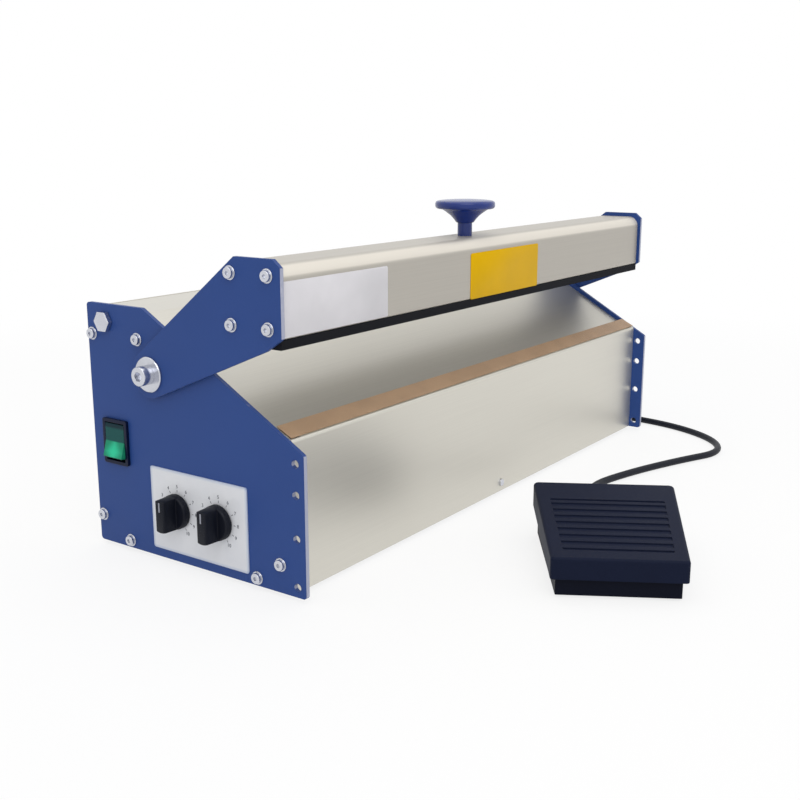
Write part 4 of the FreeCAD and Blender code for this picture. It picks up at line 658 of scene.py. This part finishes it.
def finished(piece, name, body, slot, finish=None, replaced=(), angle=35):
    """Names a piece, shades it, gives it its finish and sets it on its body, if it has one."""
    pick(piece)
    put_in_place()
    bpy.ops.object.shade_smooth_by_angle(angle=math.radians(angle))
    piece.name = name
    piece.data.name = name
    piece.data.materials.clear()
    piece.data.materials.append(finish_for(finish or slot))
    if body:
        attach(piece, body)
    if replaced:
        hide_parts(*replaced)
    return piece


# The lead, repeated from the source of the solids, in metres

lead_points = [
    (-0.02443, -0.18334, 0.0096), (0.00150, -0.16825, 0.0096), (0.052, -0.137, 0.003),
    (0.114, -0.151, 0.003), (0.174, -0.173, 0.003), (0.214, -0.192, 0.003),
    (0.251, -0.176, 0.003), (0.279, -0.134, 0.003), (0.291, -0.080, 0.003),
    (0.289, 0.0, 0.003), (0.292, 0.062, 0.003), (0.287, 0.102, 0.003),
    (0.262, 0.121, 0.003), (0.232, 0.124, 0.003),
]
gland_points = [
    (0.2320, 0.150, 0.0122), (0.228, 0.12575, 0.024), (0.228, 0.11175, 0.024),
]

# The put-away length: a coil whose turns change places where these counts of turns say

coil_middle = (0.193, 0.160)
coil_radius = 0.039
coil_height = 0.003
coil_spacing = 0.006
coil_start = math.radians(-75.5)
coil_turns = 4.76
coil_steps = 76
moves_in = [(0.62, 0.78), (1.62, 1.78)]
move_up = (2.40, 2.60)
moves_out = [(3.20, 3.38), (4.20, 4.38)]


def step(value, start, end):
    """A smooth step from 0 to 1 between two values."""
    share = min(max((value - start) / (end - start), 0.0), 1.0)
    return share * share * (3 - 2 * share)


def level_point(middle, radius, angle, height):
    """A point of a level circle at a height."""
    return (
        middle[0] + radius * math.cos(angle), middle[1] + radius * math.sin(angle), height,
    )


def coil_points():
    """The coil: in on the floor, up, and out again on top, three turns wide."""
    points = []
    for index in range(coil_steps + 1):
        turns = coil_turns * index / coil_steps
        inward = sum(step(turns, *move) for move in moves_in)
        outer = sum(step(turns, *move) for move in moves_out)
        radius = coil_radius - coil_spacing * inward + coil_spacing * outer
        height = coil_height + coil_spacing * step(turns, *move_up)
        points.append(level_point(coil_middle, radius, coil_start - math.tau * turns, height))
    return points


class SEALER_OT_lead(bpy.types.Operator):
    """Lay the foot switch's lead round the machine to its gland"""

    bl_idname = "sealer.lead"
    bl_label = "Lead"

    def execute(self, context):
        points = lead_points + coil_points() + gland_points
        radius = context.scene.sealer_sizes.lead_diameter / 2
        piece = wire("foot_switch_lead", points, radius, 6)
        piece.data.materials.append(finish_for("cord_jacket"))
        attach(piece, "machine")
        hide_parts("pedal_cord", "pedal_cord_tail", "pedal_cord_coil")
        return {"FINISHED"}


# The springs, in metres: those of the jaw hang between an eye below and one above

jaw_spring_x = 0.162
jaw_spring_y = 0.06582
jaw_spring_radius = 0.006
jaw_spring_turns = 7
eye_heights = (0.0227, 0.12259)
eye_radius = 0.005
pedal_spring_radius = 0.007
pedal_spring_turns = 4
pedal_spring_wire = 0.0006
pedal_spring_gaps = (0.0006, 0.0008)
points_in_turn = 16


def wound(middle, radius, low, high, turns):
    """Points up a coil about an upright line."""
    count = points_in_turn * turns
    points = []
    for index in range(count + 1):
        angle = math.tau * index / points_in_turn
        points.append(level_point(middle, radius, angle, low + (high - low) * index / count))
    return points


def eye_points(x, y, z, start):
    """Points round most of an upright eye, from its open end to where it meets the coil."""
    points = []
    for index in range(17):
        angle = math.radians(start - 320 + 20 * index)
        points.append((x, y + eye_radius * math.cos(angle), z + eye_radius * math.sin(angle)))
    return points


class SEALER_OT_jaw_springs(bpy.types.Operator):
    """Wind the two springs that lift the jaw, hooked between the base and the cranks"""

    bl_idname = "sealer.jaw_springs"
    bl_label = "Jaw springs"

    def execute(self, context):
        radius = context.scene.sealer_sizes.spring_wire / 2
        low = eye_heights[0] + eye_radius + 2 * radius
        high = eye_heights[1] - eye_radius - 2 * radius
        springs = []
        for x in (-jaw_spring_x, jaw_spring_x):
            lower = eye_points(x, jaw_spring_y, eye_heights[0], 90)
            upper = eye_points(x, jaw_spring_y, eye_heights[1], 270)
            middle = wound((x, jaw_spring_y), jaw_spring_radius, low, high, jaw_spring_turns)
            springs.append(as_mesh(wire("spring", lower + middle + upper[::-1], radius, 2)))
        piece = finished(
            joined(springs), "jaw_springs", None, "spring_steel",
            replaced=["return_springs"], angle=60,
        )
        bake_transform(piece)
        return {"FINISHED"}


class SEALER_OT_pedal_coil(bpy.types.Operator):
    """Wind the spring under the foot switch's lid"""

    bl_idname = "sealer.pedal_coil"
    bl_label = "Foot switch's spring"

    def execute(self, context):
        low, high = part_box("pedal_spring")
        middle = centre_of("pedal_spring")
        points = wound(
            (middle.x, middle.y), pedal_spring_radius,
            low.z + pedal_spring_gaps[0], high.z - pedal_spring_gaps[1], pedal_spring_turns,
        )
        coil = as_mesh(wire("coil", points, pedal_spring_wire, 2))
        piece = finished(
            coil, "pedal_spring_coil", "machine", "spring_steel",
            replaced=["pedal_spring"], angle=60,
        )
        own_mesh(piece)
        return {"FINISHED"}


# Turned pieces, as rings of (distance, radius) in metres

handle_rings = [
    (0.0, 0.0056), (0.0098, 0.0056), (0.0101, 0.0066), (0.0106, 0.0071), (0.0128, 0.0087),
    (0.0155, 0.0112), (0.0182, 0.0148), (0.0200, 0.0176), (0.0205, 0.0190), (0.0206, 0.0212),
    (0.0212, 0.0224), (0.0224, 0.0230), (0.0246, 0.0230), (0.0258, 0.0225), (0.0265, 0.0213),
    (0.0270, 0.0180), (0.0274, 0.0120), (0.0277, 0.0050), (0.0277, 0.0010),
]
skirt_rings = [
    (0.0, 0.0080), (0.0, 0.0117), (0.0003, 0.0120), (0.0034, 0.0120), (0.0044, 0.0117),
    (0.0050, 0.0110), (0.0051, 0.0080), (0.0051, 0.0010),
]
grip_rings = [(0.0040, 0.0117), (0.0160, 0.0113)]


class SEALER_OT_handle(bpy.types.Operator):
    """Turn the mushroom handle on top of the beam"""

    bl_idname = "sealer.handle"
    bl_label = "Lifting handle"

    def execute(self, context):
        middle = centre_of("lift_handle")
        foot = (middle.x, middle.y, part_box("lift_handle")[0].z)
        piece = turned(foot, upward, handle_rings, 64)
        finished(
            piece, "handle_knob", "jaw", "blue_plastic", replaced=["lift_handle"], angle=40,
        )
        return {"FINISHED"}


# Screws: how far the solids' heads stand out of their plates, and their (y, z) on an end

screw_reach = 0.0036
pivot_reach = 0.010
end_face = 0.260
arm_screw_places = [(-0.074, 0.172), (-0.074, 0.204), (-0.044, 0.172), (-0.044, 0.204)]
side_screw_places = [
    (-0.07515, 0.022), (-0.05515, 0.0085), (0.06385, 0.0085),
    (0.09125, 0.0225), (0.09125, 0.1531), (0.04685, 0.1531),
]


def socket_screw(head_radius, head_height, washer_radius, washer_thickness, key_width, key_depth):
    """A cap screw on its washer, standing on x = 0 and pointing along -X."""
    top = washer_thickness + head_height
    foot_chamfer = 0.0003
    rim_drop = 0.0006
    rim_round = 0.0002
    washer = turned((0, 0, 0), outward, [
        (0.0, washer_radius),
        (washer_thickness * 0.7, washer_radius),
        (washer_thickness, washer_radius - washer_thickness * 0.3),
        (washer_thickness, head_radius * 0.6),
    ], 40)
    head = turned((0, 0, 0), outward, [
        (washer_thickness * 0.5, head_radius - foot_chamfer),
        (washer_thickness, head_radius - foot_chamfer),
        (washer_thickness + foot_chamfer, head_radius),
        (top - rim_drop, head_radius),
        (top - rim_round, head_radius - rim_round),
        (top, head_radius - rim_drop),
    ], 40)
    pick(None)
    bpy.ops.mesh.primitive_cylinder_add(
        vertices=6, radius=key_width / math.sqrt(3), depth=key_depth * 2,
        location=(-top, 0, 0), rotation=(0, math.pi / 2, 0),
    )
    return joined([washer, cut_away(head, bpy.context.object)])


class SEALER_OT_end_screws(bpy.types.Operator):
    """Fit the socket screws and washers of the arms and the end plates"""

    bl_idname = "sealer.end_screws"
    bl_label = "End screws"

    def execute(self, context):
        sizes = context.scene.sealer_sizes
        for node, body, places in (
            ("arm_screws", "jaw", arm_screw_places),
            ("side_screws", "machine", side_screw_places),
        ):
            low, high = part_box(node)
            screw = socket_screw(
                head_radius=sizes.head_radius, head_height=0.0021,
                washer_radius=sizes.washer_radius, washer_thickness=0.0008,
                key_width=0.0025, key_depth=0.0016,
            )
            ends = on_both_ends(low.x + screw_reach, high.x - screw_reach, places)
            piece = copied(screw, ends)
            finished(piece, node + "_fitted", body, "screw_steel", replaced=[node])
        return {"FINISHED"}


class SEALER_OT_pivot_caps(bpy.types.Operator):
    """Fit the large screws and washers at the pivot"""

    bl_idname = "sealer.pivot_caps"
    bl_label = "Pivot screws"

    def execute(self, context):
        low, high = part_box("pivot_screws")
        middle = centre_of("pivot_screws")
        screw = socket_screw(
            head_radius=0.0065, head_height=0.008, washer_radius=0.012,
            washer_thickness=0.002, key_width=0.006, key_depth=0.004,
        )
        ends = on_both_ends(
            low.x + pivot_reach, high.x - pivot_reach, [(middle.y, middle.z)],
        )
        finished(
            copied(screw, ends), "pivot_screws_fitted", "jaw", "screw_steel",
            replaced=["pivot_screws", "pivot_washers"],
        )
        return {"FINISHED"}


class SEALER_OT_tie_bolts(bpy.types.Operator):
    """Fit the hexagon bolts of the tie rod"""

    bl_idname = "sealer.tie_bolts"
    bl_label = "Tie rod bolts"

    def execute(self, context):
        middle = centre_of("tie_rod_bolts")
        across_flats = 0.013
        corner = across_flats / math.sqrt(3)
        bolt = turned((0, 0, 0), outward, [
            (0.0, corner * 0.86), (0.0004, corner * 0.86), (0.0004, corner),
            (0.0036, corner), (0.0042, corner * 0.88),
        ], 6)
        piece = copied(bolt, on_both_ends(-end_face, end_face, [(middle.y, middle.z)]))
        finished(
            piece, "tie_rod_bolts_fitted", "machine", "screw_steel",
            replaced=["tie_rod_bolts"], angle=20,
        )
        return {"FINISHED"}


# The knobs, in metres

grip_half_width = 0.0041
line_half_width = 0.0006
line_span = (0.0034, 0.0100)
line_proud = 0.00012
line_sunk = 0.0004


def pointer_grip(x, y, z):
    """The bar across a knob: a turned post cut flat on both sides, its outer rim rounded."""
    turned((x, y, z), outward, grip_rings, 64)
    bpy.ops.object.mode_set(mode="EDIT")
    for side in (-1, 1):
        bpy.ops.mesh.select_all(action="SELECT")
        bpy.ops.mesh.bisect(
            plane_co=(x, y + side * grip_half_width, z), plane_no=(0, side, 0),
            use_fill=True, clear_outer=True,
        )
    tip = x - grip_rings[-1][0]

    def on_outer_rim(edge):
        at_tip = all(abs(vertex.co.x - tip) < 0.0001 for vertex in edge.verts)
        facing_out = [abs(face.normal.x) for face in edge.link_faces]
        return at_tip and len(facing_out) == 2 and sum(facing_out) < 1.5

    round_edges(on_outer_rim, 0.0012, 3)
    tidy_normals()
    return bpy.context.object


def index_line(x, y, z):
    """The raised line on the outer face of a knob's grip."""
    tip = x - grip_rings[-1][0]
    line = block(
        (tip - line_proud, y - line_half_width, z + line_span[0]),
        (tip + line_sunk, y + line_half_width, z + line_span[1]),
    )
    round_edges(lambda edge: abs(edge.verts[0].co.x - edge.verts[1].co.x) > 0.0003, 0.0003, 2)
    tidy_normals()
    return line


class SEALER_OT_knobs(bpy.types.Operator):
    """Mould the two pointer knobs and their pale index lines"""

    bl_idname = "sealer.knobs"
    bl_label = "Timer knobs"

    def execute(self, context):
        for node, body in (("seal_time_knob", "seal_dial"), ("cool_time_knob", "cool_dial")):
            middle = centre_of(node)
            foot = (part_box(node)[1].x, middle.y, middle.z)
            knob = joined([turned(foot, outward, skirt_rings, 64), pointer_grip(*foot)])
            finished(knob, node + "_moulded", body, "knob_plastic", replaced=[node])
            finished(index_line(*foot), node + "_line", body, "dial_sheet", "print_pale")
        return {"FINISHED"}


# The print on the dial plate, in metres from the middle of a knob

mark_distance = 0.0138
mark_size = (0.00008, 0.0004, 0.0016)
number_distance = 0.0168
first_angle = -150
angle_step = 30


class SEALER_OT_dial_marks(bpy.types.Operator):
    """Print the marks and plain numbers round the two dials"""

    bl_idname = "sealer.dial_marks"
    bl_label = "Dial marks"

    def execute(self, context):
        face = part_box("control_plate")[0].x
        marks = []
        for node in ("seal_time_knob", "cool_time_knob"):
            middle = centre_of(node)
            for number in range(11):
                angle = math.radians(first_angle + angle_step * number)
                across = -math.sin(angle)
                rise = math.cos(angle)
                pick(None)
                bpy.ops.mesh.primitive_cube_add(
                    size=1, scale=mark_size, rotation=(angle, 0, 0),
                    location=(
                        face - 0.00002,
                        middle.y + across * mark_distance, middle.z + rise * mark_distance,
                    ),
                )
                put_in_place()
                marks.append(context.object)
                marks.append(self.digits(context, number, (
                    face - 0.00006,
                    middle.y + across * number_distance, middle.z + rise * number_distance,
                )))
        finished(joined(marks), "dial_marks", "machine", "dial_sheet", "print_grey")
        return {"FINISHED"}

    def digits(self, context, number, place):
        """A number as a thin mesh that reads from the left end."""
        pick(None)
        bpy.ops.object.text_add(location=place, rotation=(math.pi / 2, 0, -math.pi / 2))
        text = context.object
        text.data.body = str(number)
        text.data.size = context.scene.sealer_sizes.digit_height
        text.data.align_x = "CENTER"
        text.data.align_y = "CENTER"
        text.data.extrude = 0.00004
        piece = as_mesh(text)
        put_in_place()
        return piece


class SEALER_OT_beam_plates(bpy.types.Operator):
    """Stick the two blank plates on the front of the beam"""

    bl_idname = "sealer.beam_plates"
    bl_label = "Blank plates"

    def execute(self, context):
        thickness = context.scene.sealer_sizes.label_thickness
        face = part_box("beam_profile")[0].y
        for name, finish, left, right, low, high in (
            ("blank_white_plate", "label_white", -0.2606, -0.153, 0.1665, 0.2005),
            ("blank_yellow_plate", "label_yellow", -0.047, 0.058, 0.1655, 0.2000),
        ):
            plate = block((left, face - thickness, low), (right, face, high))
            round_edges(
                lambda edge: abs(edge.verts[0].co.y - edge.verts[1].co.y) > thickness / 2,
                0.0016, 5,
            )
            select_parts("FACE", lambda part: part.normal.y < -0.9)
            bpy.ops.mesh.inset(thickness=thickness * 0.5, depth=thickness * 0.3)
            tidy_normals()
            finished(plate, name, "jaw", "anodised", finish)
        return {"FINISHED"}


class SEALER_OT_carried_nodes(bpy.types.Operator):
    """Give every solid that still shows its finish"""

    bl_idname = "sealer.carried_nodes"
    bl_label = "Finishes of the solids"

    def execute(self, context):
        for node, piece in frame["nodes"].items():
            if piece.hide_render:
                continue
            finish = finish_for(slot_of[node])
            if not piece.material_slots:
                piece.data.materials.append(finish)
            for place in piece.material_slots:
                place.material = finish
        return {"FINISHED"}


class SEALER_OT_stage(bpy.types.Operator):
    """Set the pale floor, the soft lamps, the white surround and the camera"""

    bl_idname = "sealer.stage"
    bl_label = "Stage"

    def execute(self, context):
        self.lay_floor(context)
        self.set_surround(context)
        self.hang_lamps(context)
        self.stand_camera(context)
        context.scene.view_settings.view_transform = "Standard"
        return {"FINISHED"}

    def lay_floor(self, context):
        """A pale disc that glows white to the camera and keeps some shadow near the object."""
        pick(None)
        bpy.ops.mesh.primitive_circle_add(
            vertices=96, radius=6.0, fill_type="NGON", location=(0, 0, -0.0002),
        )
        floor = context.object
        put_in_place()
        floor.name = "floor"
        finish = Finish("pale_floor", roughness=0.7)
        across, along, _ = finish.axes(finish.place())
        mottle = finish.noise(scale=3.0, detail=2.0)
        paint = finish.blend(mottle, (0.90, 0.90, 0.90), (0.92, 0.92, 0.92))
        finish.surface("Base Color", paint)
        away = finish.ramp(across * across + along * along, 0.16, 1.2)
        glow = finish.node("ShaderNodeEmission", {}, {"Color": (1.0, 1.0, 1.0), "Strength": 1.0})
        blended = finish.node("ShaderNodeMixShader", {}, {
            0: finish.seen() * (0.80 + 0.20 * away),
            1: Signal(finish, finish.shader.outputs[0]),
            2: Signal(finish, glow.outputs[0]),
        })
        output = finish.tree.nodes["Material Output"]
        finish.feed(output.inputs["Surface"], Signal(finish, blended.outputs[0]))
        floor.data.materials.append(finish.material)

    def set_surround(self, context):
        """White to the camera and in mirrors, and a dimmer light on the object."""
        world = bpy.data.worlds.new("white_surround")
        world.use_nodes = True
        context.scene.world = world
        nodes = Nodes(world.node_tree)
        level = nodes.node("ShaderNodeMapRange", {}, {
            "Value": nodes.seen(), "To Min": 0.58, "To Max": 1.0,
        })
        background = nodes.tree.nodes["Background"]
        nodes.feed(background.inputs["Color"], (1.0, 1.0, 1.0))
        nodes.feed(background.inputs["Strength"], Signal(nodes, level.outputs["Result"]))

    def hang_lamps(self, context):
        """Three soft discs, each turned to what it lights, of a size in metres and a power."""
        for name, place, target, size, power in (
            ("key_lamp", (-1.5, -1.3, 2.1), (0, 0, 0.05), 2.4, 24.0),
            ("fill_lamp", (1.0, -1.7, 2.0), (0, 0, 0.1), 2.6, 7.0),
            ("top_lamp", (0.0, 0.4, 2.6), (0, 0, 0), 3.0, 20.0),
        ):
            bpy.ops.object.light_add(type="AREA", location=place)
            lamp = context.object
            lamp.name = name
            lamp.data.shape = "DISK"
            lamp.data.size = size
            lamp.data.energy = power
            heading = Vector(target) - Vector(place)
            lamp.rotation_euler = heading.to_track_quat("-Z", "Y").to_euler()

    def stand_camera(self, context):
        """The camera at the photograph's viewing angle, with its dip and heading in radians."""
        dip = 0.231902
        heading = -0.957660
        bpy.ops.object.camera_add(
            location=(-0.7432, -0.5067, 0.2804), rotation=(math.pi / 2 - dip, 0, heading),
        )
        camera = context.object
        camera.name = "photo_camera"
        camera.data.lens = 49.06
        camera.data.sensor_width = 36.0
        camera.data.clip_start = 0.01
        context.scene.camera = camera


class SEALER_PT_pieces(bpy.types.Panel):
    """Sizes, colours and pieces of the sealer"""

    bl_idname = "SEALER_PT_pieces"
    bl_label = "Impulse sealer"
    bl_space_type = "VIEW_3D"
    bl_region_type = "UI"
    bl_category = "Sealer"

    def draw(self, context):
        column = self.layout.column()
        for group in (context.scene.sealer_sizes, context.scene.sealer_colours):
            for name in group.bl_rna.properties.keys():
                if name not in ("rna_type", "name"):
                    column.prop(group, name)
        for operator in operators:
            column.operator(operator.bl_idname)


operators = [
    SEALER_OT_stage,
    SEALER_OT_lead,
    SEALER_OT_jaw_springs,
    SEALER_OT_pedal_coil,
    SEALER_OT_handle,
    SEALER_OT_end_screws,
    SEALER_OT_pivot_caps,
    SEALER_OT_tie_bolts,
    SEALER_OT_knobs,
    SEALER_OT_dial_marks,
    SEALER_OT_beam_plates,
    SEALER_OT_carried_nodes,
]
classes = [SealerSizes, SealerColours] + operators + [SEALER_PT_pieces]


def register():
    for kind in classes:
        bpy.utils.register_class(kind)
    bpy.types.Scene.sealer_sizes = bpy.props.PointerProperty(type=SealerSizes)
    bpy.types.Scene.sealer_colours = bpy.props.PointerProperty(type=SealerColours)


def unregister():
    del bpy.types.Scene.sealer_colours
    del bpy.types.Scene.sealer_sizes
    for kind in reversed(classes):
        bpy.utils.unregister_class(kind)


def main():
    register()
    bpy.ops.sealer.stage()
    bpy.ops.sealer.lead()
    bpy.ops.sealer.jaw_springs()
    bpy.ops.sealer.pedal_coil()
    bpy.ops.sealer.handle()
    bpy.ops.sealer.end_screws()
    bpy.ops.sealer.pivot_caps()
    bpy.ops.sealer.tie_bolts()
    bpy.ops.sealer.knobs()
    bpy.ops.sealer.dial_marks()
    bpy.ops.sealer.beam_plates()
    bpy.ops.sealer.carried_nodes()


if __name__ == "__main__":
    main()
